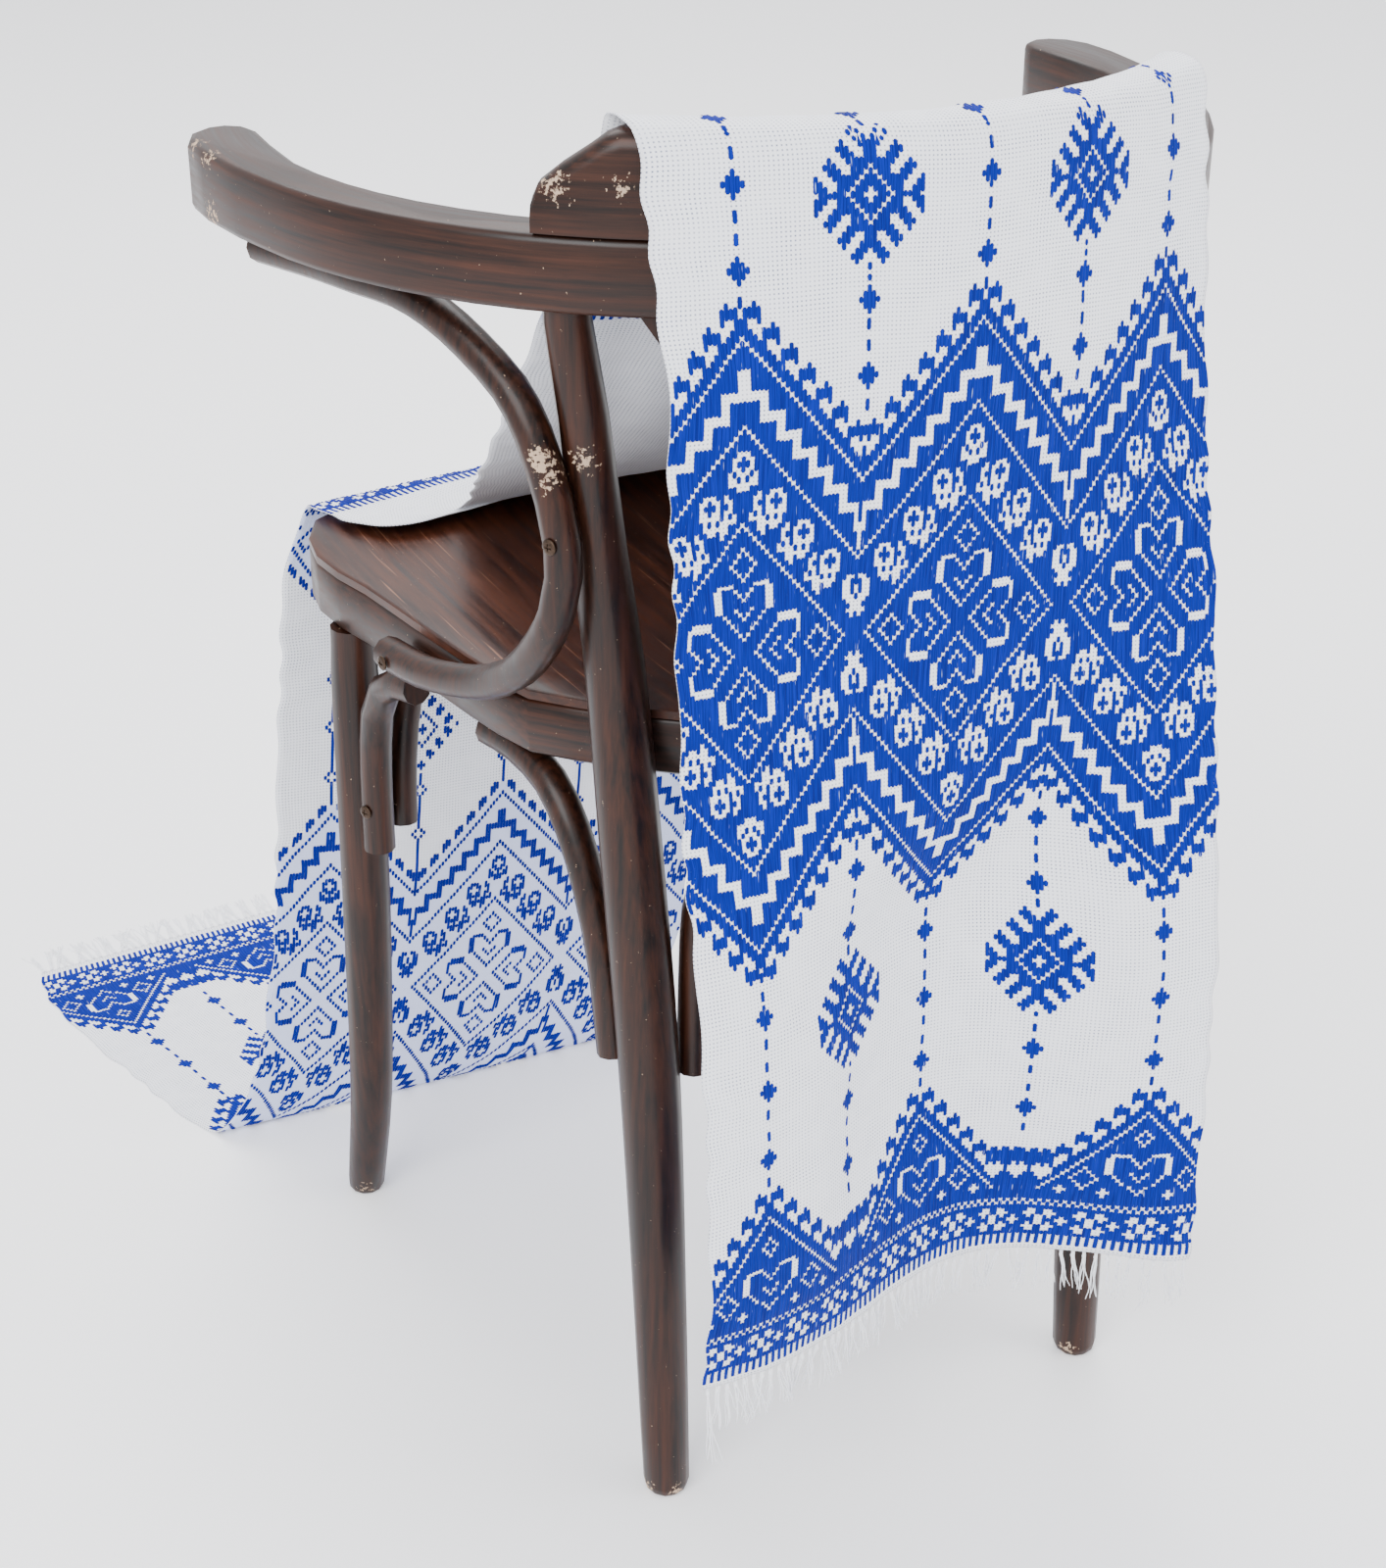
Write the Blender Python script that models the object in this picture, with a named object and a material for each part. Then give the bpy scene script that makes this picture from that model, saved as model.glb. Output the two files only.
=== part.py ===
import math

import bpy
from mathutils import Vector

# One shared frame: metres, +Z up, +X along the chair's back, +Y towards its front.
# The drawing frame has its origin on the floor midway between the chair's feet.
# SHIFT moves the whole model so that the origin is the bottom centre of its box.
SHIFT = (0.0274, -0.1674, 0.0)
GAP = 0.0003

# Cloth
CLOTH_THICK = 0.0015
CLOTH_COLUMNS = 14

# Fringe
FRINGE_BUNDLES = 34
FRINGE_STRIP = 0.0055
FRINGE_LENGTH = 0.0270
FRINGE_THICK = 0.0015
FRINGE_TIP = 0.55
FRINGE_SWING = 0.0016
TUFT_SCALE = 1.45

# Chair rail and crest
ARC_CENTRE_Y = 0.065
RAIL_OUTER = 0.270
RAIL_INNER = 0.240
RAIL_BOTTOM = 0.6866
RAIL_TOP = 0.7236
RAIL_EDGE = 0.0040
CREST_INNER = 0.248
CREST_EDGE = 0.0092

# Seat
SEAT_RING_BOTTOM = 0.4290
SEAT_RING_TOP = 0.4607
SEAT_RING_WIDTH = 0.0250
SEAT_RING_EDGE = 0.0020
SEAT_PANEL_BOTTOM = 0.4610
SEAT_TOP = 0.4670
SEAT_SPACING = 0.0280

# Splat
SPLAT_THICK = 0.0080

# Screws
SCREW_RADIUS = 0.0042
SCREW_HEIGHT = 0.0016
SCREW_SIDES = 12

# Half outline of the seat from its back middle to its front middle.
SEAT_OUTLINE = (
    # x, y
    (0.000, -0.1500),
    (0.060, -0.1465),
    (0.1098, -0.1261),
    (0.1448, -0.0951),
    (0.167, -0.0720),
    (0.178, -0.0330),
    (0.1875, 0.0240),
    (0.199, 0.1000),
    (0.207, 0.1350),
    (0.205, 0.1710),
    (0.186, 0.2070),
    (0.140, 0.2220),
    (0.070, 0.2300),
    (0.000, 0.2320),
)

# The dish of the seat panel from rim to middle.
SEAT_DISH = (
    # share of the outline, drop of the top, drop of the underside
    (1.000, 0.0015, 0.0000),
    (0.990, 0.0000, 0.0000),
    (0.850, 0.0030, 0.0000),
    (0.700, 0.0060, 0.0022),
    (0.450, 0.0080, 0.0040),
    (0.200, 0.0090, 0.0050),
)

# The arm rail's rounded end, from its outer side round to its inner side.
RAIL_TIP = (
    # x, y
    (0.2710, 0.0420),
    (0.2755, 0.0800),
    (0.2750, 0.1050),
    (0.2690, 0.1200),
    (0.2590, 0.1280),
    (0.2480, 0.1290),
    (0.2385, 0.1220),
    (0.2360, 0.1100),
    (0.2380, 0.0800),
)

# The crest's upper line from its end to its level middle.
CREST_LINE = (
    # degrees from the middle, height of the top
    (43.5, 0.7410),
    (42.9, 0.7470),
    (40.7, 0.7550),
    (37.9, 0.7635),
    (36.1, 0.7695),
    (34.4, 0.7725),
    (31.0, 0.7722),
    (24.0, 0.7717),
    (16.0, 0.7712),
    (8.0, 0.7706),
    (0.0, 0.7703),
)

# Round wooden members of the right half, each mirrored for the left half.
REAR_LEG = (
    # x, y, z, diameter
    (0.1390, -0.1735, 0.0000, 0.0200),
    (0.1390, -0.1735, 0.0020, 0.0240),
    (0.1390, -0.1733, 0.0060, 0.0262),
    (0.1390, -0.1640, 0.1450, 0.0300),
    (0.1390, -0.1530, 0.2730, 0.0330),
    (0.1400, -0.1360, 0.3900, 0.0330),
    (0.1410, -0.1190, 0.4950, 0.0310),
    (0.1500, -0.1220, 0.5600, 0.0280),
    (0.1600, -0.1280, 0.6340, 0.0250),
    (0.1660, -0.1260, 0.6800, 0.0233),
    (0.1660, -0.1260, 0.6862, 0.0232),
)
FRONT_LEG = (
    # x, y, z, diameter
    (0.1960, 0.1725, 0.0000, 0.0200),
    (0.1960, 0.1725, 0.0020, 0.0225),
    (0.1960, 0.1712, 0.0060, 0.0240),
    (0.1960, 0.1490, 0.0890, 0.0272),
    (0.1960, 0.1390, 0.1750, 0.0290),
    (0.1960, 0.1330, 0.2540, 0.0300),
    (0.1960, 0.1290, 0.3950, 0.0285),
    (0.1960, 0.1280, 0.4200, 0.0265),
    (0.1960, 0.1280, 0.4284, 0.0262),
)
ARM_SUPPORT = (
    # x, y, z, diameter
    (0.2520, 0.0660, 0.6765, 0.0190),
    (0.2350, 0.0220, 0.6765, 0.0190),
    (0.2265, -0.0060, 0.6765, 0.0190),
    (0.2150, -0.0310, 0.6750, 0.0190),
    (0.2050, -0.0570, 0.6690, 0.0190),
    (0.1965, -0.0800, 0.6590, 0.0190),
    (0.1870, -0.1040, 0.6430, 0.0190),
    (0.1822, -0.1195, 0.6250, 0.0190),
    (0.1770, -0.1310, 0.5940, 0.0190),
    (0.1745, -0.1345, 0.5720, 0.0190),
    (0.1750, -0.1360, 0.5560, 0.0190),
    (0.1770, -0.1315, 0.5360, 0.0190),
    (0.1790, -0.1170, 0.5140, 0.0190),
    (0.1810, -0.0910, 0.4890, 0.0190),
    (0.1845, -0.0600, 0.4700, 0.0190),
    (0.1905, -0.0300, 0.4590, 0.0190),
    (0.1975, 0.0040, 0.4510, 0.0190),
    (0.2035, 0.0450, 0.4470, 0.0190),
)
SIDE_ARCH = (
    # x, y, z, diameter
    (0.1680, -0.0130, 0.4188, 0.0190),
    (0.1620, -0.0400, 0.4186, 0.0190),
    (0.1570, -0.0700, 0.4110, 0.0190),
    (0.1530, -0.0900, 0.3900, 0.0190),
    (0.1500, -0.1050, 0.3600, 0.0190),
    (0.1480, -0.1180, 0.3200, 0.0190),
    (0.1472, -0.1265, 0.2700, 0.0190),
)
BACK_ARCH = (
    # x, y, z, diameter
    (0.0500, -0.1380, 0.4188, 0.0190),
    (0.0700, -0.1410, 0.4140, 0.0190),
    (0.0900, -0.1450, 0.4000, 0.0190),
    (0.1020, -0.1480, 0.3830, 0.0190),
    (0.1085, -0.1500, 0.3600, 0.0190),
    (0.1110, -0.1510, 0.3150, 0.0190),
    (0.1120, -0.1515, 0.2650, 0.0190),
)
SIDE_KNEE = (
    # x, y, z, diameter
    (0.1860, 0.0500, 0.4188, 0.0190),
    (0.1905, 0.0670, 0.4160, 0.0190),
    (0.1935, 0.0830, 0.4060, 0.0190),
    (0.1948, 0.0960, 0.3850, 0.0190),
    (0.1950, 0.1035, 0.3440, 0.0190),
    (0.1950, 0.1050, 0.2920, 0.0190),
)
FRONT_KNEE = (
    # x, y, z, diameter
    (0.1120, 0.1880, 0.4188, 0.0190),
    (0.1260, 0.1700, 0.4165, 0.0190),
    (0.1440, 0.1520, 0.4040, 0.0190),
    (0.1590, 0.1420, 0.3740, 0.0190),
    (0.1670, 0.1375, 0.3300, 0.0190),
    (0.1695, 0.1350, 0.2900, 0.0190),
)

# The flat back board below the rail, from its top to its foot behind the seat.
SPLAT_ROWS = (
    # z, half width, y of the middle, bend radius
    (0.6862, 0.1400, -0.1900, 0.255),
    (0.6680, 0.1290, -0.1890, 0.258),
    (0.6400, 0.0860, -0.1865, 0.290),
    (0.6050, 0.0560, -0.1820, 0.360),
    (0.5550, 0.0460, -0.1740, 0.500),
    (0.5050, 0.0460, -0.1640, 0.800),
    (0.4700, 0.0480, -0.1572, 1.200),
    (0.4340, 0.0500, -0.1562, 1.400),
)
SPLAT_COLUMNS = 8

# Screw heads of the right half: a point on the member's middle line, and the way they face.
SCREWS = (
    # name, x, y, z, face x, face y, member radius
    ("arm_support_upper", 0.1744, -0.1347, 0.5740, 0.91, -0.415, 0.0095),
    ("arm_support_lower", 0.2022, 0.0330, 0.4480, 0.98, -0.20, 0.0095),
    ("side_knee", 0.1950, 0.1046, 0.3200, 0.90, -0.436, 0.0095),
)

# The cloth, one row for each cross-section from the back hem over the crest to the far hem.
# Each row gives both selvedges, how far the middle bows from the line between them, where
# across the width the bow is deepest, how narrow it is, and the rows of faces up to the next.
CLOTH_SECTIONS = (
    # name, left x, y, z, right x, y, z, bow y, bow z, peak, power, steps
    ("back_hem", -0.1490, -0.2395, 0.1250, 0.1580, -0.2490, 0.1130, 0.052, 0.000, 0.62, 1.6, 3),
    ("back_low", -0.1500, -0.2490, 0.1850, 0.1580, -0.2485, 0.1750, 0.053, 0.000, 0.57, 2.0, 3),
    ("back_lower", -0.1500, -0.2465, 0.2500, 0.1580, -0.2465, 0.2400, 0.053, 0.000, 0.52, 2.3, 3),
    ("back_trough", -0.1500, -0.2400, 0.3200, 0.1580, -0.2440, 0.3130, 0.050, 0.000, 0.52, 2.8, 3),
    ("back_knee", -0.1490, -0.2300, 0.3650, 0.1575, -0.2380, 0.3600, 0.045, 0.000, 0.54, 2.6, 3),
    ("back_seat", -0.1470, -0.2110, 0.4400, 0.1560, -0.2260, 0.4350, 0.017, 0.000, 0.68, 1.8, 4),
    ("back_mid", -0.1465, -0.2030, 0.5200, 0.1550, -0.2130, 0.5150, 0.002, 0.000, 0.60, 1.3, 4),
    ("back_upper", -0.1490, -0.2000, 0.6000, 0.1580, -0.1880, 0.6000, -0.0160, 0.000, 0.53, 1.2, 3),
    ("back_rail", -0.1490, -0.1975, 0.6550, 0.1615, -0.1745, 0.6580, -0.0240, 0.000, 0.53, 1.0, 3),
    ("rail_top", -0.1490, -0.1845, 0.7100, 0.1620, -0.1655, 0.7130, -0.0345, 0.000, 0.52, 0.90, 2),
    ("crest_back", -0.1490, -0.1712, 0.7450, 0.1600, -0.1638, 0.7450, -0.0435, 0.000, 0.50, 0.82, 2),
    ("crest_edge", -0.1490, -0.1664, 0.7648, 0.1570, -0.1622, 0.7643, -0.0470, -0.0015, 0.50, 0.80, 1),
    ("crest_turn", -0.1490, -0.1620, 0.7742, 0.1540, -0.1590, 0.7739, -0.0480, -0.0016, 0.50, 0.80, 1),
    ("crest_top_a", -0.1490, -0.1500, 0.7769, 0.1530, -0.1475, 0.7767, -0.0490, -0.0016, 0.50, 0.80, 1),
    ("crest_top_b", -0.1490, -0.1432, 0.7769, 0.1525, -0.1410, 0.7767, -0.0497, -0.0016, 0.50, 0.80, 1),
    ("crest_front", -0.1490, -0.1322, 0.7732, 0.1525, -0.1297, 0.7730, -0.0512, -0.0016, 0.50, 0.80, 1),
    ("crest_inner", -0.1490, -0.1266, 0.7640, 0.1525, -0.1242, 0.7640, -0.0530, -0.0015, 0.50, 0.80, 2),
    ("slope_top", -0.1500, -0.0960, 0.7120, 0.1525, -0.0980, 0.7180, -0.0500, -0.002, 0.50, 0.95, 3),
    ("slope_upper", -0.1520, -0.0560, 0.6540, 0.1570, -0.0600, 0.6620, -0.0390, -0.008, 0.50, 1.0, 4),
    ("slope_mid", -0.1440, 0.0030, 0.5960, 0.1690, 0.0030, 0.6040, -0.0240, -0.014, 0.50, 1.0, 4),
    ("slope_lower", -0.1310, 0.0750, 0.5370, 0.1820, 0.0770, 0.5460, -0.0100, -0.015, 0.50, 1.1, 4),
    ("slope_foot", -0.1185, 0.1300, 0.4970, 0.1930, 0.1400, 0.5030, -0.0020, -0.010, 0.50, 1.2, 3),
    ("seat_touch", -0.1100, 0.1690, 0.4720, 0.1990, 0.1930, 0.4760, 0.0040, -0.002, 0.50, 1.0, 2),
    ("seat_turn_a", -0.1320, 0.1640, 0.4702, 0.1800, 0.2110, 0.4708, 0.0060, 0.000, 0.55, 1.0, 2),
    ("seat_turn_b", -0.1580, 0.1640, 0.4702, 0.1540, 0.2190, 0.4704, 0.0080, 0.000, 0.60, 1.0, 2),
    ("seat_turn_c", -0.1760, 0.1800, 0.4702, 0.1350, 0.2260, 0.4703, 0.0100, 0.000, 0.60, 1.0, 2),
    ("seat_edge", -0.1850, 0.2010, 0.4703, 0.1270, 0.2325, 0.4703, 0.0100, 0.000, 0.60, 1.0, 1),
    ("edge_turn", -0.1895, 0.2175, 0.4698, 0.1225, 0.2360, 0.4698, 0.0100, 0.000, 0.60, 0.7, 1),
    ("edge_down", -0.1930, 0.2220, 0.4635, 0.1195, 0.2385, 0.4635, 0.0090, 0.000, 0.60, 0.7, 1),
    ("front_top", -0.1970, 0.2240, 0.4500, 0.1160, 0.2395, 0.4500, 0.0085, 0.000, 0.58, 0.8, 2),
    ("front_rim", -0.2060, 0.2275, 0.4150, 0.1065, 0.2400, 0.4150, 0.0065, 0.000, 0.50, 1.0, 4),
    ("front_upper", -0.2110, 0.2300, 0.3600, 0.1015, 0.2410, 0.3600, 0.0020, 0.000, 0.45, 1.4, 4),
    ("front_mid", -0.2180, 0.2320, 0.2860, 0.0945, 0.2430, 0.2850, -0.004, 0.000, 0.42, 1.6, 5),
    ("front_lower", -0.2250, 0.2400, 0.1740, 0.0860, 0.2480, 0.1730, -0.006, 0.000, 0.45, 1.6, 4),
    ("front_foot", -0.2400, 0.2510, 0.0680, 0.0720, 0.2545, 0.0670, -0.006, 0.000, 0.50, 1.4, 3),
    ("front_flare", -0.2550, 0.2590, 0.0230, 0.0570, 0.2580, 0.0200, -0.004, 0.000, 0.50, 1.2, 2),
    ("floor_fold", -0.2690, 0.2680, 0.0050, 0.0440, 0.2620, 0.0045, -0.003, 0.000, 0.50, 1.0, 1),
    ("floor_start", -0.2760, 0.2790, 0.00075, 0.0385, 0.2710, 0.00075, -0.002, 0.000, 0.50, 1.0, 2),
    ("floor_a", -0.2930, 0.3350, 0.00075, 0.0240, 0.3300, 0.00075, 0.000, 0.000, 0.50, 1.0, 3),
    ("floor_b", -0.3040, 0.3750, 0.00075, 0.0150, 0.3750, 0.00075, 0.000, 0.000, 0.50, 1.0, 3),
    ("floor_c", -0.3190, 0.4300, 0.00075, 0.0010, 0.4400, 0.00075, 0.000, 0.000, 0.50, 1.0, 3),
    ("floor_d", -0.3300, 0.4850, 0.00075, -0.011, 0.4980, 0.00075, 0.000, 0.000, 0.50, 1.0, 3),
    ("front_hem", -0.3285, 0.5320, 0.00075, -0.013, 0.5540, 0.00075, 0.000, 0.000, 0.50, 1.0, 0),
)

# Soft ridges of the cloth towards its right side, each running along the length.
CLOTH_FOLDS = (
    # first section, last section, share of the width at each end, half width, height
    ("back_lower", "back_mid", 0.86, 0.80, 0.060, 0.0050),
    ("back_hem", "back_knee", 0.20, 0.27, 0.070, 0.0040),
    ("slope_top", "slope_foot", 0.12, 0.22, 0.060, 0.0060),
    ("slope_upper", "slope_foot", 0.70, 0.55, 0.080, 0.0050),
    ("front_rim", "front_lower", 0.30, 0.24, 0.080, -0.0040),
    ("front_upper", "front_flare", 0.68, 0.74, 0.070, 0.0060),
    ("floor_start", "floor_b", 0.30, 0.40, 0.090, 0.0040),
    ("floor_a", "floor_d", 0.75, 0.66, 0.080, 0.0050),
)


def spline(rows, parameter, at):
    """Value of every column at one parameter, on a smooth curve through the rows."""
    last = len(rows) - 1
    index = 0
    while index < last - 1 and parameter[index + 1] <= at:
        index += 1
    before = max(index - 1, 0)
    after = min(index + 2, last)
    span = parameter[index + 1] - parameter[index]
    share = (at - parameter[index]) / span
    values = []
    for column in range(len(rows[0])):
        here = rows[index][column]
        there = rows[index + 1][column]
        slope_here = (there - rows[before][column]) / (parameter[index + 1] - parameter[before])
        slope_there = (rows[after][column] - here) / (parameter[after] - parameter[index])
        s2 = share * share
        s3 = s2 * share
        values.append(
            (2 * s3 - 3 * s2 + 1) * here
            + (s3 - 2 * s2 + share) * span * slope_here
            + (3 * s2 - 2 * s3) * there
            + (s3 - s2) * span * slope_there
        )
    return values


def chord_lengths(points):
    """Running length along a row of points."""
    lengths = [0.0]
    for first, second in zip(points, points[1:]):
        lengths.append(lengths[-1] + (Vector(second) - Vector(first)).length)
    return lengths


def evenly(rows, spacing, size=3):
    """Rows resampled at about one spacing, keeping both ends."""
    lengths = chord_lengths([row[:size] for row in rows])
    count = max(2, round(lengths[-1] / spacing))
    return [spline(rows, lengths, lengths[-1] * step / count) for step in range(count + 1)]


def between(rows, spacing):
    """Rows with smooth points added between them, keeping every row."""
    lengths = chord_lengths([row[:3] for row in rows])
    out = []
    for start, end in zip(lengths, lengths[1:]):
        count = max(1, round((end - start) / spacing))
        out += [spline(rows, lengths, start + (end - start) * step / count) for step in range(count)]
    return out + [list(rows[-1])]


def clear_scene():
    for thing in list(bpy.data.objects):
        bpy.data.objects.remove(thing, do_unlink=True)


def principled(name, colour, roughness):
    material = bpy.data.materials.new(name)
    material.use_nodes = True
    shader = material.node_tree.nodes["Principled BSDF"]
    shader.inputs["Base Color"].default_value = (*colour, 1.0)
    shader.inputs["Roughness"].default_value = roughness
    material.diffuse_color = (*colour, 1.0)
    return material


def place(name, data, material, root):
    """One named object of its own under the shared origin."""
    if material.name not in data.materials:
        data.materials.append(material)
    thing = bpy.data.objects.new(name, data)
    bpy.context.scene.collection.objects.link(thing)
    thing.parent = root
    return thing


def mesh_of(name, points, faces, smooth=True):
    data = bpy.data.meshes.new(name)
    data.from_pydata([tuple(p) for p in points], [], faces)
    data.validate()
    data.polygons.foreach_set("use_smooth", [smooth] * len(data.polygons))
    data.update()
    return data


def edge_rounding(thing, width, segments):
    bevel = thing.modifiers.new("edge_rounding", "BEVEL")
    bevel.width = width
    bevel.segments = segments
    bevel.limit_method = "ANGLE"
    bevel.angle_limit = math.radians(40)


def turned_rod(name, rows, spacing, resolution):
    """A round member as a poly line with its own diameter at each point."""
    curve = bpy.data.curves.new(name, "CURVE")
    curve.dimensions = "3D"
    curve.bevel_mode = "ROUND"
    curve.bevel_depth = 1.0
    curve.bevel_resolution = resolution
    curve.use_fill_caps = True
    points = between(rows, spacing)
    line = curve.splines.new("POLY")
    line.points.add(len(points) - 1)
    for point, (x, y, z, diameter) in zip(line.points, points):
        point.co = (x, y, z, 1.0)
        point.radius = diameter / 2
    line.use_smooth = True
    return curve


def both_sides(name, data, material, root):
    """The right-hand member and its mirror image on the left."""
    right = place(name + "_right", data, material, root)
    left = place(name + "_left", data, material, root)
    left.scale.x = -1.0
    return right, left


def loft(rings, closed_ends=True):
    """Points and faces through rings of equal length, capped at both ends."""
    count = len(rings[0])
    points = [point for ring in rings for point in ring]
    faces = []
    for ring in range(len(rings) - 1):
        for step in range(count):
            a = ring * count + step
            b = ring * count + (step + 1) % count
            faces.append((a, b, b + count, a + count))
    if closed_ends:
        faces.append(tuple(reversed(range(count))))
        faces.append(tuple(range(len(points) - count, len(points))))
    return points, faces


def mirrored_outline(half):
    """A closed outline from its right half, whose ends lie on the middle line."""
    return list(half) + [(-x, y) for x, y in reversed(half[1:-1])]


def arc_point(radius, degrees):
    angle = math.radians(degrees)
    return radius * math.sin(angle), ARC_CENTRE_Y - radius * math.cos(angle)


def build_rail(wood, root):
    """The flat bent rail that is both arms and the back in one piece."""
    outer = [arc_point(RAIL_OUTER, degrees) for degrees in range(0, 81, 5)]
    inner = [arc_point(RAIL_INNER, degrees) for degrees in range(84, -1, -6)]
    outline = mirrored_outline(outer + list(RAIL_TIP) + inner)
    # The inner arc's middle point also lies on the mirror line, so the two halves meet there.
    rings = [[(x, y, z) for x, y in outline] for z in (RAIL_BOTTOM, RAIL_TOP)]
    points, faces = loft(rings)
    rail = place("arm_rail", mesh_of("arm_rail", points, faces, False), wood, root)
    edge_rounding(rail, RAIL_EDGE, 2)


def build_crest(wood, root):
    """The raised block that stands on the middle of the rail."""
    line = [(-degrees, top) for degrees, top in CREST_LINE]
    line += [(degrees, top) for degrees, top in reversed(CREST_LINE[:-1])]
    bottom = RAIL_TOP + GAP
    r = CREST_EDGE
    rings = []
    for degrees, top in line:
        section = (
            (RAIL_OUTER, bottom),
            (RAIL_OUTER, top - r),
            (RAIL_OUTER - 0.13 * r, top - 0.5 * r),
            (RAIL_OUTER - 0.5 * r, top - 0.13 * r),
            (RAIL_OUTER - r, top),
            (CREST_INNER + r, top),
            (CREST_INNER + 0.5 * r, top - 0.13 * r),
            (CREST_INNER + 0.13 * r, top - 0.5 * r),
            (CREST_INNER, top - r),
            (CREST_INNER, bottom),
        )
        rings.append([(*arc_point(radius, degrees), z) for radius, z in reversed(section)])
    points, faces = loft(rings)
    place("crest_block", mesh_of("crest_block", points, faces, False), wood, root)


def seat_outline():
    """The seat's closed outline, resampled evenly."""
    half = evenly(SEAT_OUTLINE, SEAT_SPACING, 2)
    half[0][0] = 0.0
    half[-1][0] = 0.0
    return mirrored_outline([tuple(p) for p in half])


def inset(outline, distance):
    """The outline moved towards its inside by one distance."""
    moved = []
    count = len(outline)
    for index, (x, y) in enumerate(outline):
        x0, y0 = outline[index - 1]
        x1, y1 = outline[(index + 1) % count]
        along = Vector((x1 - x0, y1 - y0)).normalized()
        moved.append((x - along.y * distance, y + along.x * distance))
    return moved


def build_seat(wood, wood_top, root):
    """The bent ring of the seat and the dished panel on it."""
    outline = seat_outline()
    inner = inset(outline, SEAT_RING_WIDTH)
    count = len(outline)
    bottom, top = SEAT_RING_BOTTOM, SEAT_RING_TOP
    rings = [
        [(x, y, bottom) for x, y in outline],
        [(x, y, top) for x, y in outline],
        [(x, y, top) for x, y in inner],
        [(x, y, bottom) for x, y in inner],
    ]
    points = [point for ring in rings for point in ring]
    faces = []
    for ring in range(4):
        for step in range(count):
            a = ring * count + step
            b = ring * count + (step + 1) % count
            c = (ring + 1) % 4 * count
            faces.append((a, b, c + (step + 1) % count, c + step))
    ring_object = place("seat_ring", mesh_of("seat_ring", points, faces, False), wood, root)
    edge_rounding(ring_object, SEAT_RING_EDGE, 1)

    centre_y = sum(y for _, y in outline) / count
    rings = []
    for share, _, drop in reversed(SEAT_DISH):
        rings.append(
            [
                (x * share, centre_y + (y - centre_y) * share, SEAT_PANEL_BOTTOM - drop)
                for x, y in outline
            ]
        )
    for share, drop, _ in SEAT_DISH:
        rings.append(
            [
                (x * share, centre_y + (y - centre_y) * share, SEAT_TOP - drop)
                for x, y in outline
            ]
        )
    points, faces = loft(rings)
    place("seat_panel", mesh_of("seat_panel", points, faces), wood_top, root)


def build_splat(wood, root):
    """The thin curved board between the rail and the back of the seat."""
    rings = []
    for z, half_width, middle_y, radius in reversed(SPLAT_ROWS):
        front = []
        back = []
        for column in range(SPLAT_COLUMNS + 1):
            x = half_width * (2 * column / SPLAT_COLUMNS - 1)
            y = middle_y + radius - math.sqrt(radius * radius - x * x)
            slope = x / radius
            back.append((x + slope * SPLAT_THICK / 2, y - SPLAT_THICK / 2, z))
            front.append((x - slope * SPLAT_THICK / 2, y + SPLAT_THICK / 2, z))
        rings.append(back + front[::-1])
    points, faces = loft(rings)
    place("back_splat", mesh_of("back_splat", points, faces, False), wood, root)


def screw_head():
    """A low domed head whose underside lies at the origin, facing +Z."""
    profile = ((1.0, 0.0), (1.0, 0.45), (0.62, 0.9), (0.25, 1.0))
    rings = []
    for share, height in profile:
        ring = []
        for side in range(SCREW_SIDES):
            angle = 2 * math.pi * side / SCREW_SIDES
            radius = share * SCREW_RADIUS
            ring.append((radius * math.cos(angle), radius * math.sin(angle), height * SCREW_HEIGHT))
        rings.append(ring)
    points, faces = loft(rings)
    return mesh_of("screw_head", points, faces)


def build_screws(steel, root):
    data = screw_head()
    for name, x, y, z, face_x, face_y, radius in SCREWS:
        facing = Vector((face_x, face_y, 0.0)).normalized()
        stand = radius + 2 * GAP
        for side, sign in (("right", 1), ("left", -1)):
            head = place("screw_" + name + "_" + side, data, steel, root)
            way = Vector((facing.x * sign, facing.y, 0.0))
            head.location = Vector((x * sign, y, z)) + way * stand
            head.rotation_mode = "QUATERNION"
            head.rotation_quaternion = way.to_track_quat("Z", "Y")


def cloth_rows():
    """Every cross-section's values, resampled, with its place among the named sections."""
    rows = [list(section[1:11]) for section in CLOTH_SECTIONS]
    middles = [
        Vector(((r[0] + r[3]) / 2, (r[1] + r[4]) / 2 + r[6], (r[2] + r[5]) / 2 + r[7]))
        for r in rows
    ]
    lengths = chord_lengths(middles)
    out = []
    for index, section in enumerate(CLOTH_SECTIONS[:-1]):
        steps = section[11]
        for step in range(steps):
            share = step / steps
            at = lengths[index] + (lengths[index + 1] - lengths[index]) * share
            out.append((index + share, spline(rows, lengths, at)))
    out.append((len(rows) - 1.0, rows[-1]))
    return out


def cloth_point(row, share):
    """A point of the cloth's middle surface before its folds."""
    lx, ly, lz, rx, ry, rz, bow_y, bow_z, peak, power = row
    turned = share ** (math.log(0.5) / math.log(peak))
    shape = max(math.sin(math.pi * turned), 0.0) ** power
    return Vector(
        (
            lx + (rx - lx) * share,
            ly + (ry - ly) * share + bow_y * shape,
            max(lz + (rz - lz) * share + bow_z * shape, CLOTH_THICK / 2),
        )
    )


def fold_height(place_in_rows, share):
    """Height of the soft ridges at one point, towards the right side of the cloth."""
    names = [section[0] for section in CLOTH_SECTIONS]
    height = 0.0
    for first, last, share_a, share_b, half_width, ridge in CLOTH_FOLDS:
        start, end = names.index(first), names.index(last)
        along = (place_in_rows - start) / (end - start)
        if not 0.0 < along < 1.0:
            continue
        off = (share - share_a - (share_b - share_a) * along) / half_width
        height += ridge * math.sin(math.pi * along) ** 2 * math.exp(-off * off)
    return height


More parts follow.
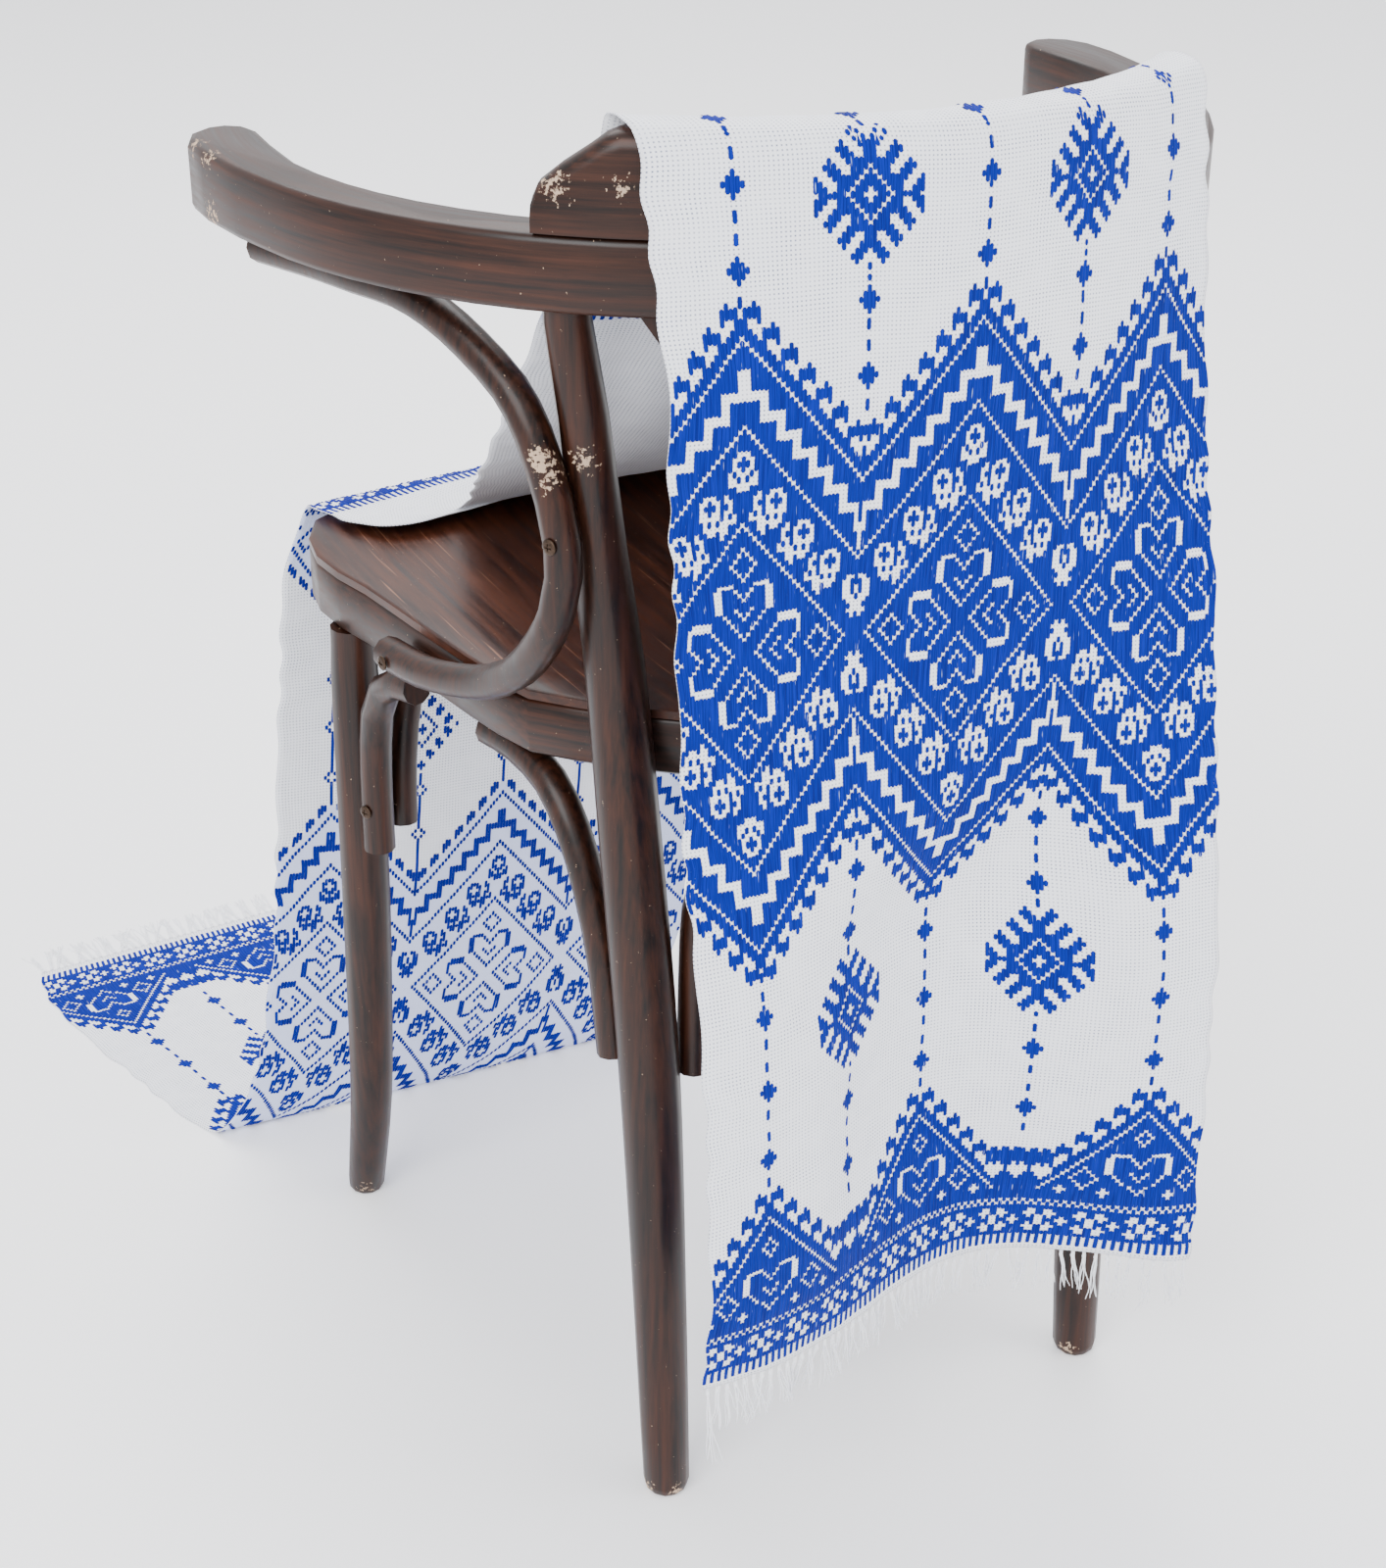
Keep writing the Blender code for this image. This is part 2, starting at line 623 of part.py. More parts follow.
def cloth_grid(columns):
    """The cloth's middle surface as rows of points, folds included."""
    rows = cloth_rows()
    plain = [[cloth_point(row, c / columns) for c in range(columns + 1)] for _, row in rows]
    folded = []
    for index, (where, _) in enumerate(rows):
        line = []
        for c in range(columns + 1):
            along = plain[min(index + 1, len(rows) - 1)][c] - plain[max(index - 1, 0)][c]
            across = plain[index][min(c + 1, columns)] - plain[index][max(c - 1, 0)]
            outward = across.cross(along).normalized()
            line.append(plain[index][c] + outward * fold_height(where, c / columns))
        folded.append(line)
    return folded


def build_cloth(cotton, root):
    grid = cloth_grid(CLOTH_COLUMNS)
    points = [point for line in grid for point in line]
    width = CLOTH_COLUMNS + 1
    faces = []
    for line in range(len(grid) - 1):
        for c in range(CLOTH_COLUMNS):
            a = line * width + c
            faces.append((a, a + 1, a + 1 + width, a + width))
    cloth = place("towel_cloth", mesh_of("towel_cloth", points, faces), cotton, root)
    solid = cloth.modifiers.new("cloth_thickness", "SOLIDIFY")
    solid.thickness = CLOTH_THICK
    solid.offset = 0.0
    solid.use_even_offset = False
    return grid


def build_fringe(name, hem, outward, lift, tuft_at, cotton, root):
    """A strip of knots parted from the cloth's end, with the bundles growing out of it."""
    lengths = chord_lengths(hem)
    bundles = FRINGE_BUNDLES
    cells = 2 * bundles + 1
    pitch = lengths[-1] / (bundles + 0.5 * (bundles + 1))
    marks = [0.0]
    for cell in range(cells):
        marks.append(marks[-1] + (pitch if cell % 2 else 0.5 * pitch))
    marks[-1] = lengths[-1]
    points = []
    across = lift.normalized() * (FRINGE_THICK / 2)
    for mark in marks:
        root_point = Vector(spline([tuple(p) for p in hem], lengths, mark))
        start = root_point + outward * 2 * GAP
        end = start + outward * FRINGE_STRIP
        points += [start + across, start - across, end - across, end + across]
    faces = [(3, 2, 1, 0)]
    for cell in range(cells):
        a, b = 4 * cell, 4 * cell + 4
        for side in (0, 1, 3):
            other = (side + 1) % 4
            faces.append((a + side, a + other, b + other, b + side))
        if cell % 2 == 0:
            faces.append((a + 2, a + 3, b + 3, b + 2))
            continue
        bundle = cell // 2
        phase = bundle * 2.399
        scale = TUFT_SCALE if bundle == tuft_at else 1.0
        swing = (points[b] - points[a]).normalized() * FRINGE_SWING * math.sin(phase)
        reach = FRINGE_LENGTH * scale * (0.92 + 0.08 * math.cos(1.7 * phase))
        below = [a + 2, a + 3, b + 3, b + 2]
        for share, narrow in ((0.5, 0.85), (1.0, FRINGE_TIP)):
            corners = [points[a + 2], points[a + 3], points[b + 3], points[b + 2]]
            centre = sum(corners, Vector()) / 4
            ring = []
            for corner in corners:
                offset = (corner - centre) * narrow
                if name == "fringe_floor":
                    offset = (corner - centre) - (corner - centre).dot(lift) * (1 - narrow) * lift
                    offset -= lift * (1 - narrow) * FRINGE_THICK / 2
                ring.append(len(points))
                points.append(centre + offset + outward * reach * share + swing * share)
            for side in range(4):
                other = (side + 1) % 4
                faces.append((below[side], below[other], ring[other], ring[side]))
            below = ring
        faces.append(tuple(below))
    end = 4 * cells
    faces.append((end, end + 1, end + 2, end + 3))
    data = mesh_of(name, points, faces, False)
    place(name, data, cotton, root)


def main():
    clear_scene()
    wood = principled("walnut_stained_beech", (0.060, 0.026, 0.016), 0.38)
    wood_top = principled("walnut_stained_plywood", (0.110, 0.045, 0.025), 0.42)
    steel = principled("blackened_steel_screw", (0.020, 0.018, 0.017), 0.45)
    cotton = principled("bleached_cotton_cloth", (0.820, 0.840, 0.880), 0.90)
    thread = principled("bleached_cotton_fringe", (0.860, 0.870, 0.890), 0.90)

    root = bpy.data.objects.new("shared_origin", None)
    bpy.context.scene.collection.objects.link(root)
    root.location = SHIFT

    rods = (
        # name, rows, spacing, bevel resolution
        ("rear_leg", REAR_LEG, 0.034, 4),
        ("front_leg", FRONT_LEG, 0.032, 4),
        ("arm_support", ARM_SUPPORT, 0.0155, 3),
        ("side_arch", SIDE_ARCH, 0.018, 3),
        ("back_arch", BACK_ARCH, 0.018, 3),
        ("side_knee", SIDE_KNEE, 0.018, 3),
        ("front_knee", FRONT_KNEE, 0.018, 3),
    )
    for name, rows, spacing, resolution in rods:
        both_sides(name, turned_rod(name, rows, spacing, resolution), wood, root)
    build_rail(wood, root)
    build_crest(wood, root)
    build_seat(wood, wood_top, root)
    build_splat(wood, root)
    build_screws(steel, root)

    grid = build_cloth(cotton, root)
    down = Vector((0.0, 0.0, -1.0))
    forward = (grid[-1][0] - grid[-3][0]).normalized()
    build_fringe("fringe_back", grid[0], down, Vector((0.0, 1.0, 0.0)), 0, thread, root)
    build_fringe("fringe_floor", grid[-1], forward, Vector((0.0, 0.0, 1.0)), -1, thread, root)


main()
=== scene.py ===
# %% [markdown]
# # A woven rushnyk over a bentwood armchair
# The long towel hangs over the crest of a hard chair, slopes down to the seat, falls over the
# seat's front edge and ends flat on the floor. The solids of the chair and a plain sheet for the
# cloth come in as a fixed frame. This lesson gives them their looks: it weaves the cloth's blue
# pattern thread by thread, ties the fringe, and stains and wears the wood.

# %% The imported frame
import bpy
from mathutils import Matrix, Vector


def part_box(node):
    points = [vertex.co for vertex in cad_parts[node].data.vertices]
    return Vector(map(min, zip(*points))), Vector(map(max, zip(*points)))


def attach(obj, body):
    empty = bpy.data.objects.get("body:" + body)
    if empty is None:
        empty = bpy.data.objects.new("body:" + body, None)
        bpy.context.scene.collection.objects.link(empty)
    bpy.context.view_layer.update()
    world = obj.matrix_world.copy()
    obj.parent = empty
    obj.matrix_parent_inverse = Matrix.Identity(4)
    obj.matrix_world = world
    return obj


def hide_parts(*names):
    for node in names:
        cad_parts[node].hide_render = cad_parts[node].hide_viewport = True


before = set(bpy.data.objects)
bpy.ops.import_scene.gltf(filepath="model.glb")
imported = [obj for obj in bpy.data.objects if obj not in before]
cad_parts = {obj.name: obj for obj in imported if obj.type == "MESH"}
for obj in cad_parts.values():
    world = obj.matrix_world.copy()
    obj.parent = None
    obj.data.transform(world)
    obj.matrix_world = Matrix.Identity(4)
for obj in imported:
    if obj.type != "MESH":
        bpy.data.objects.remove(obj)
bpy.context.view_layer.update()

# %% Modules
import math

import bpy
import numpy as np
from mathutils import Matrix, Vector

# %% [markdown]
# ## Camera
# The picture is taken from behind the chair, to its left and above the crest, with a short
# telephoto view. The camera could be aimed by a constraint at a target, but a measured place and
# three measured angles say the same thing with nothing left to solve, so its matrix is built from
# them.

# %% Camera
CAMERA_PLACE = Vector((-0.6011, -1.3625, 1.0470))
CAMERA_YAW = math.radians(-26.2902)
CAMERA_PITCH = math.radians(27.6546)
CAMERA_ROLL = math.radians(0.2295)
FRAME_HEIGHT_PIXELS = 1600
FOCAL_PIXELS = 2648.8851
SENSOR_MM = 36.0

forward = Vector((
    -math.sin(CAMERA_YAW) * math.cos(CAMERA_PITCH),
    math.cos(CAMERA_YAW) * math.cos(CAMERA_PITCH),
    -math.sin(CAMERA_PITCH),
))
level_right = forward.cross(Vector((0.0, 0.0, 1.0))).normalized()
level_up = level_right.cross(forward)
right = level_right * math.cos(CAMERA_ROLL) + level_up * math.sin(CAMERA_ROLL)
up = level_up * math.cos(CAMERA_ROLL) - level_right * math.sin(CAMERA_ROLL)
axes = Matrix((right, up, -forward)).transposed()

lens = bpy.data.cameras.new("picture_camera")
lens.sensor_fit = "VERTICAL"
lens.sensor_height = SENSOR_MM
lens.lens = FOCAL_PIXELS / FRAME_HEIGHT_PIXELS * SENSOR_MM
camera = bpy.data.objects.new("picture_camera", lens)
camera.matrix_world = Matrix.Translation(CAMERA_PLACE) @ axes.to_4x4()
bpy.context.scene.collection.objects.link(camera)
bpy.context.scene.camera = camera
print("lens", round(lens.lens, 1), "mm")

# %% [markdown]
# ## Small helpers
# Colours are written as sRGB hex values, as a dyer's chart would give them, and one function
# turns them to the linear numbers that the shaders use. One function adds a node with its
# settings and its links. One makes a mesh object from arrays of points and faces.

# %% Colour, node and mesh helpers
MM = 0.001


def linear(hex_colour):
    """An sRGB hex value as linear red, green, blue and alpha."""
    out = []
    for start in (0, 2, 4):
        value = int(hex_colour[start:start + 2], 16) / 255
        out.append(value / 12.92 if value <= 0.04045 else ((value + 0.055) / 1.055) ** 2.4)
    return (*out, 1.0)


def add(tree, kind, settings=None, **inputs):
    """A node with its settings, and with a value or a socket for each named input."""
    made = tree.nodes.new(kind)
    for name, value in (settings or {}).items():
        setattr(made, name, value)
    for name, value in inputs.items():
        key = int(name[1:]) if name[1:].isdigit() else name.replace("_", " ")
        if isinstance(value, bpy.types.NodeSocket):
            tree.links.new(value, made.inputs[key])
        else:
            made.inputs[key].default_value = value
    return made


def new_material(name):
    """A material, its node tree, its shader and its output."""
    material = bpy.data.materials.new(name)
    material.use_nodes = True
    tree = material.node_tree
    shader = tree.nodes["Principled BSDF"]
    return material, tree, shader


def mesh_object(name, points, faces, materials, smooth=True):
    """A mesh object from arrays."""
    data = bpy.data.meshes.new(name)
    data.from_pydata([tuple(p) for p in np.asarray(points, float)], [], [tuple(f) for f in faces])
    for material in materials:
        data.materials.append(material)
    data.polygons.foreach_set("use_smooth", [smooth] * len(data.polygons))
    data.update()
    made = bpy.data.objects.new(name, data)
    bpy.context.scene.collection.objects.link(made)
    print(name, len(data.vertices), "points,", len(data.polygons), "faces")
    return made


# %% [markdown]
# ## The form of the cloth
# A hanging cloth keeps straight threads across where it bends only one way, so its form can be
# given by a row of cross-sections from one hem to the other. Each section states both selvedges
# and how its middle bows between them, and a smooth curve joins the sections. A cloth simulation
# could find such a drape too, but this one has to lie on the same folds as the solid, which the
# same table makes certain.

# %% Cross-sections and soft folds of the cloth
SHIFT = np.array((0.0274, -0.1674, 0.0))
FLOOR_LIFT = 0.00075
CLOTH_SECTIONS = (
    # name, left x, y, z, right x, y, z, bow y, bow z, peak, power
    ("back_hem", -0.1490, -0.2395, 0.1250, 0.1580, -0.2490, 0.1130, 0.052, 0.000, 0.62, 1.6),
    ("back_low", -0.1500, -0.2490, 0.1850, 0.1580, -0.2485, 0.1750, 0.053, 0.000, 0.57, 2.0),
    ("back_lower", -0.1500, -0.2465, 0.2500, 0.1580, -0.2465, 0.2400, 0.053, 0.000, 0.52, 2.3),
    ("back_trough", -0.1500, -0.2400, 0.3200, 0.1580, -0.2440, 0.3130, 0.050, 0.000, 0.52, 2.8),
    ("back_knee", -0.1490, -0.2300, 0.3650, 0.1575, -0.2380, 0.3600, 0.045, 0.000, 0.54, 2.6),
    ("back_seat", -0.1470, -0.2110, 0.4400, 0.1560, -0.2260, 0.4350, 0.017, 0.000, 0.68, 1.8),
    ("back_mid", -0.1465, -0.2030, 0.5200, 0.1550, -0.2130, 0.5150, 0.002, 0.000, 0.60, 1.3),
    ("back_upper", -0.1490, -0.2000, 0.6000, 0.1580, -0.1880, 0.6000, -0.0160, 0.000, 0.53, 1.2),
    ("back_rail", -0.1490, -0.1975, 0.6550, 0.1615, -0.1745, 0.6580, -0.0240, 0.000, 0.53, 1.0),
    ("rail_top", -0.1490, -0.1845, 0.7100, 0.1620, -0.1655, 0.7130, -0.0345, 0.000, 0.52, 0.90),
    ("crest_back", -0.1490, -0.1712, 0.7450, 0.1600, -0.1638, 0.7450, -0.0435, 0.000, 0.50, 0.82),
    ("crest_edge", -0.1490, -0.1664, 0.7648, 0.1570, -0.1622, 0.7643, -0.0470, -0.0015, 0.50, 0.80),
    ("crest_turn", -0.1490, -0.1620, 0.7742, 0.1540, -0.1590, 0.7739, -0.0480, -0.0016, 0.50, 0.80),
    ("crest_top_a", -0.1490, -0.1500, 0.7769, 0.1530, -0.1475, 0.7767, -0.0490, -0.0016, 0.50, 0.80),
    ("crest_top_b", -0.1490, -0.1432, 0.7769, 0.1525, -0.1410, 0.7767, -0.0497, -0.0016, 0.50, 0.80),
    ("crest_front", -0.1490, -0.1322, 0.7732, 0.1525, -0.1297, 0.7730, -0.0512, -0.0016, 0.50, 0.80),
    ("crest_inner", -0.1490, -0.1266, 0.7640, 0.1525, -0.1242, 0.7640, -0.0530, -0.0015, 0.50, 0.80),
    ("slope_top", -0.1500, -0.0960, 0.7120, 0.1525, -0.0980, 0.7180, -0.0500, -0.002, 0.50, 0.95),
    ("slope_upper", -0.1520, -0.0560, 0.6540, 0.1570, -0.0600, 0.6620, -0.0390, -0.008, 0.50, 1.0),
    ("slope_mid", -0.1440, 0.0030, 0.5960, 0.1690, 0.0030, 0.6040, -0.0240, -0.014, 0.50, 1.0),
    ("slope_lower", -0.1310, 0.0750, 0.5370, 0.1820, 0.0770, 0.5460, -0.0100, -0.015, 0.50, 1.1),
    ("slope_foot", -0.1185, 0.1300, 0.4970, 0.1930, 0.1400, 0.5030, -0.0020, -0.010, 0.50, 1.2),
    ("seat_touch", -0.1100, 0.1690, 0.4720, 0.1990, 0.1930, 0.4760, 0.0040, -0.002, 0.50, 1.0),
    ("seat_turn_a", -0.1320, 0.1640, 0.4702, 0.1800, 0.2110, 0.4708, 0.0060, 0.000, 0.55, 1.0),
    ("seat_turn_b", -0.1580, 0.1640, 0.4702, 0.1540, 0.2190, 0.4704, 0.0080, 0.000, 0.60, 1.0),
    ("seat_turn_c", -0.1760, 0.1800, 0.4702, 0.1350, 0.2260, 0.4703, 0.0100, 0.000, 0.60, 1.0),
    ("seat_edge", -0.1850, 0.2010, 0.4703, 0.1270, 0.2325, 0.4703, 0.0100, 0.000, 0.60, 1.0),
    ("edge_turn", -0.1895, 0.2175, 0.4698, 0.1225, 0.2360, 0.4698, 0.0100, 0.000, 0.60, 0.7),
    ("edge_down", -0.1930, 0.2220, 0.4635, 0.1195, 0.2385, 0.4635, 0.0090, 0.000, 0.60, 0.7),
    ("front_top", -0.1970, 0.2240, 0.4500, 0.1160, 0.2395, 0.4500, 0.0085, 0.000, 0.58, 0.8),
    ("front_rim", -0.2060, 0.2275, 0.4150, 0.1065, 0.2400, 0.4150, 0.0065, 0.000, 0.50, 1.0),
    ("front_upper", -0.2110, 0.2300, 0.3600, 0.1015, 0.2410, 0.3600, 0.0020, 0.000, 0.45, 1.4),
    ("front_mid", -0.2180, 0.2320, 0.2860, 0.0945, 0.2430, 0.2850, -0.004, 0.000, 0.42, 1.6),
    ("front_lower", -0.2250, 0.2400, 0.1740, 0.0860, 0.2480, 0.1730, -0.006, 0.000, 0.45, 1.6),
    ("front_foot", -0.2400, 0.2510, 0.0680, 0.0720, 0.2545, 0.0670, -0.006, 0.000, 0.50, 1.4),
    ("front_flare", -0.2550, 0.2590, 0.0230, 0.0570, 0.2580, 0.0200, -0.004, 0.000, 0.50, 1.2),
    ("floor_fold", -0.2690, 0.2680, 0.0050, 0.0440, 0.2620, 0.0045, -0.003, 0.000, 0.50, 1.0),
    ("floor_start", -0.2760, 0.2790, 0.00075, 0.0385, 0.2710, 0.00075, -0.002, 0.000, 0.50, 1.0),
    ("floor_a", -0.2930, 0.3350, 0.00075, 0.0240, 0.3300, 0.00075, 0.000, 0.000, 0.50, 1.0),
    ("floor_b", -0.3040, 0.3750, 0.00075, 0.0150, 0.3750, 0.00075, 0.000, 0.000, 0.50, 1.0),
    ("floor_c", -0.3190, 0.4300, 0.00075, 0.0010, 0.4400, 0.00075, 0.000, 0.000, 0.50, 1.0),
    ("floor_d", -0.3300, 0.4850, 0.00075, -0.011, 0.4980, 0.00075, 0.000, 0.000, 0.50, 1.0),
    ("front_hem", -0.3285, 0.5320, 0.00075, -0.013, 0.5540, 0.00075, 0.000, 0.000, 0.50, 1.0),
)
CLOTH_FOLDS = (
    # first section, last section, share of the width at each end, half width, height
    ("back_lower", "back_mid", 0.86, 0.80, 0.060, 0.0050),
    ("back_hem", "back_knee", 0.20, 0.27, 0.070, 0.0040),
    ("slope_top", "slope_foot", 0.12, 0.22, 0.060, 0.0060),
    ("slope_upper", "slope_foot", 0.70, 0.55, 0.080, 0.0050),
    ("front_rim", "front_lower", 0.30, 0.24, 0.080, -0.0040),
    ("front_upper", "front_flare", 0.68, 0.74, 0.070, 0.0060),
    ("floor_start", "floor_b", 0.30, 0.40, 0.090, 0.0040),
    ("floor_a", "floor_d", 0.75, 0.66, 0.080, 0.0050),
)
SECTION_NAMES = [section[0] for section in CLOTH_SECTIONS]
print(len(CLOTH_SECTIONS), "sections,", len(CLOTH_FOLDS), "soft folds")

# %% [markdown]
# The sections are joined by a cubic curve that runs through every one of them. Along each of the
# cloth's columns of thread the running length is then measured, because a weaver's pattern is
# counted in threads from the hem and not in height above the floor.

# %% Smooth cross-sections
STEPS_BETWEEN = 30


def smooth_sections():
    """Section values and their place in the table, joined by a cubic through every row."""
    rows = np.array([section[1:] for section in CLOTH_SECTIONS])
    middle = (rows[:, 0:3] + rows[:, 3:6]) / 2
    middle[:, 1:3] += rows[:, 6:8]
    spans = np.linalg.norm(np.diff(middle, axis=0), axis=1)
    at = np.concatenate([[0.0], np.cumsum(spans)])
    slopes = np.empty_like(rows)
    slopes[1:-1] = (rows[2:] - rows[:-2]) / (at[2:] - at[:-2])[:, None]
    slopes[0] = (rows[1] - rows[0]) / spans[0]
    slopes[-1] = (rows[-1] - rows[-2]) / spans[-1]
    values = []
    places = []
    for index, span in enumerate(spans):
        for share in np.arange(STEPS_BETWEEN) / STEPS_BETWEEN:
            s2, s3 = share ** 2, share ** 3
            values.append(
                (2 * s3 - 3 * s2 + 1) * rows[index]
                + (s3 - 2 * s2 + share) * span * slopes[index]
                + (3 * s2 - 2 * s3) * rows[index + 1]
                + (s3 - s2) * span * slopes[index + 1]
            )
            places.append(index + share)
    return np.array(values + [rows[-1]]), np.array(places + [len(rows) - 1.0])


section_values, section_places = smooth_sections()
print(len(section_values), "smooth sections")

# %% Points of the draped sheet
COLUMNS = 150
PUCKER = 0.00035
SELVEDGE_WAVE = 0.0011


def fold_heights(places, shares):
    """Height of the soft folds towards the face of the cloth."""
    height = np.zeros((len(places), len(shares)))
    for first, last, share_a, share_b, half_width, ridge in CLOTH_FOLDS:
        start, end = SECTION_NAMES.index(first), SECTION_NAMES.index(last)
        along = np.clip((places - start) / (end - start), 0.0, 1.0)
        off = (shares[None, :] - (share_a + (share_b - share_a) * along)[:, None]) / half_width
        height += ridge * (np.sin(math.pi * along) ** 2)[:, None] * np.exp(-off * off)
    return height


def face_normals(grid):
    """Unit normals towards the face, from the rows and columns of a grid of points."""
    along = np.gradient(grid, axis=0)
    across = np.gradient(grid, axis=1)
    normals = np.cross(across, along)
    return normals / np.linalg.norm(normals, axis=2, keepdims=True)


def draped_points():
    """The middle surface of the cloth at every column line, along all the sections."""
    shares = np.linspace(0.0, 1.0, COLUMNS + 1)
    value = section_values
    turned = shares[None, :] ** (math.log(0.5) / np.log(value[:, 8:9]))
    shape = np.maximum(np.sin(math.pi * turned), 0.0) ** value[:, 9:10]
    grid = np.empty((len(value), COLUMNS + 1, 3))
    for axis in range(3):
        grid[:, :, axis] = value[:, axis:axis + 1] * (1 - shares) + value[:, axis + 3:axis + 4] * shares
    grid[:, :, 1] += value[:, 6:7] * shape
    grid[:, :, 2] = np.maximum(grid[:, :, 2] + value[:, 7:8] * shape, FLOOR_LIFT)
    grid += face_normals(grid) * fold_heights(section_places, shares)[:, :, None]
    return grid + SHIFT


draped = draped_points()
print("cloth spans", draped.min((0, 1)).round(3), draped.max((0, 1)).round(3))

# %% [markdown]
# The finished sheet is sampled every two millimetres of its own length, column by column. A real
# cloth is as long along one selvedge as along the other, so the small differences that the drape
# leaves are taken up in the plain middle, and both patterned ends keep their true scale.

# %% The sheet in its own lengths
LENGTH = 2.02
WIDTH = 0.315
PATTERNED = 0.84
LENGTH_STEP = 0.002


def by_own_length(grid):
    """The grid resampled so that each row lies one step of cloth after the last."""
    wanted = np.arange(0.0, LENGTH + LENGTH_STEP / 2, LENGTH_STEP)
    out = np.empty((len(wanted), grid.shape[1], 3))
    for column in range(grid.shape[1]):
        line = grid[:, column]
        run = np.concatenate([[0.0], np.cumsum(np.linalg.norm(np.diff(line, axis=0), axis=1))])
        at = np.interp(
            wanted,
            (0.0, PATTERNED, LENGTH - PATTERNED, LENGTH),
            (0.0, PATTERNED, run[-1] - PATTERNED, run[-1]),
        )
        for axis in range(3):
            out[:, column, axis] = np.interp(at, run, line[:, axis])
    return out


def unevenness(grid):
    """Slight puckers of a loose weave and the small scallops of its selvedges."""
    rows = np.arange(grid.shape[0])[:, None] * LENGTH_STEP
    shares = np.linspace(0.0, 1.0, grid.shape[1])[None, :]
    ripple = np.sin(rows * 190 + 5 * np.sin(shares * 9)) * np.sin(shares * 31 + 3 * np.sin(rows * 23))
    ripple += 0.8 * np.sin(rows * 73 + shares * 17) * np.sin(shares * 12 + rows * 11)
    off_floor = np.clip((grid[:, :, 2] - 0.004) / 0.02, 0.0, 1.0)
    grid = grid + face_normals(grid) * (PUCKER * ripple * off_floor)[:, :, None]
    scallop = np.sin(rows * 160 + 2 * np.sin(rows * 41)) + 0.5 * np.sin(rows * 67)
    grid[:, :, 0] += SELVEDGE_WAVE * scallop * (shares ** 14 - (1 - shares) ** 14)
    return grid


fabric = unevenness(by_own_length(draped))
facing = face_normals(fabric)
print("sheet of", fabric.shape[0], "rows and", fabric.shape[1], "column lines")


def on_cloth(columns, lengths, lift):
    """Points at columns and lengths from the back hem, raised by lift towards the face."""
    row = np.clip(np.asarray(lengths) / LENGTH_STEP, 0, fabric.shape[0] - 1.001)
    col = np.clip(np.asarray(columns), 0, COLUMNS - 0.001)
    r0, c0 = row.astype(int), col.astype(int)
    fr, fc = (row - r0)[:, None], (col - c0)[:, None]

    def blended(grid):
        near = grid[r0, c0] * (1 - fc) + grid[r0, c0 + 1] * fc
        far = grid[r0 + 1, c0] * (1 - fc) + grid[r0 + 1, c0 + 1] * fc
        return near * (1 - fr) + far * fr

    return blended(fabric) + blended(facing) * np.asarray(lift)[:, None]


# %% [markdown]
# ## Reading the chart
# The pattern is traditional: a tall chevron band with roses, hearts and lozenges, hooked edges,
# small lozenges in the plain ground and a flowered border at the hem. A weaver reads it from a
# chart of squares, where a filled square is a blue thread on the face. Here the chart is an array
# of true and false, filled by rules wherever the pattern has one, and by tiny drawn charts for
# the flowers. Every chevron repeats over 58 columns, so one measure rules it all: the distance
# of a square from the nearest peak column.

# %% The empty chart and its measures
CHART_ROWS = 326
PEAK_COLUMNS = (17, 75, 133)
VALLEY_COLUMNS = (46, 104)
HALF_REPEAT = 29
BAND_ROW = 161

row, column = np.mgrid[0:CHART_ROWS, 0:COLUMNS]
peak_offset = column - PEAK_COLUMNS[0]
peak_offset = (peak_offset + HALF_REPEAT) % (2 * HALF_REPEAT) - HALF_REPEAT
from_peak = abs(peak_offset)
from_middle = abs(row - BAND_ROW)
chevron = from_middle + from_peak
print("chart of", CHART_ROWS, "rows and", COLUMNS, "columns")


def stamp(chart, drawing, centre_row, centre_column, value, upward=True, mirrored=False):
    """Sets the squares that a small drawing marks, with the drawing's first line uppermost."""
    lines = drawing if upward else drawing[::-1]
    for down, line in enumerate(lines):
        if mirrored:
            line = line[::-1]
        at_row = math.floor(centre_row + (len(lines) - 1) / 2 - down)
        for over, mark in enumerate(line):
            at_column = math.floor(centre_column - (len(line) - 1) / 2 + over + 0.5)
            if mark == "#" and 0 <= at_row < CHART_ROWS and 0 <= at_column < COLUMNS:
                chart[at_row, at_column] = value


# %% [markdown]
# The hooks along each edge are one small figure, four columns wide, that steps down four squares
# each time it repeats. It is drawn once, and its place in the repeat is worked out from the
# distance to the peak.

# %% Hooked edges
HOOK = (
    # squares from the peak side outwards, the uppermost line first
    "..#.",
    "####",
    "####",
    "#..#",
    "#...",
    "##..",
)
HOOK_STEP = 4
HOOK_RISE = 3


def hooked_edge(height, distance, solid_to):
    """True on the hooks that stand on an edge falling one square for each column."""
    beyond = distance - 1
    step = np.clip(beyond // HOOK_STEP, 0, None)
    in_step = np.clip(beyond - step * HOOK_STEP, 0, HOOK_STEP - 1)
    line = solid_to + HOOK_RISE - (height + step * HOOK_STEP)
    drawn = np.array([[mark == "#" for mark in text] for text in HOOK])
    inside = (line >= 0) & (line < len(HOOK)) & (beyond >= 0)
    return inside & drawn[np.clip(line, 0, len(HOOK) - 1), in_step]


# %% [markdown]
# Inside the chevrons, thin white lines part the zones. Between the two outermost runs a white
# zigzag of stairs, each four columns wide and four rows high.

# %% Chevron band
SOLID_TO = 64
OUTER_LINE = 61
INNER_LINE = 45
LOZENGE_LINE = 26
STAIR_TOP = 51
STAIR_BAR = 4.5
STAIR_STEP = 4


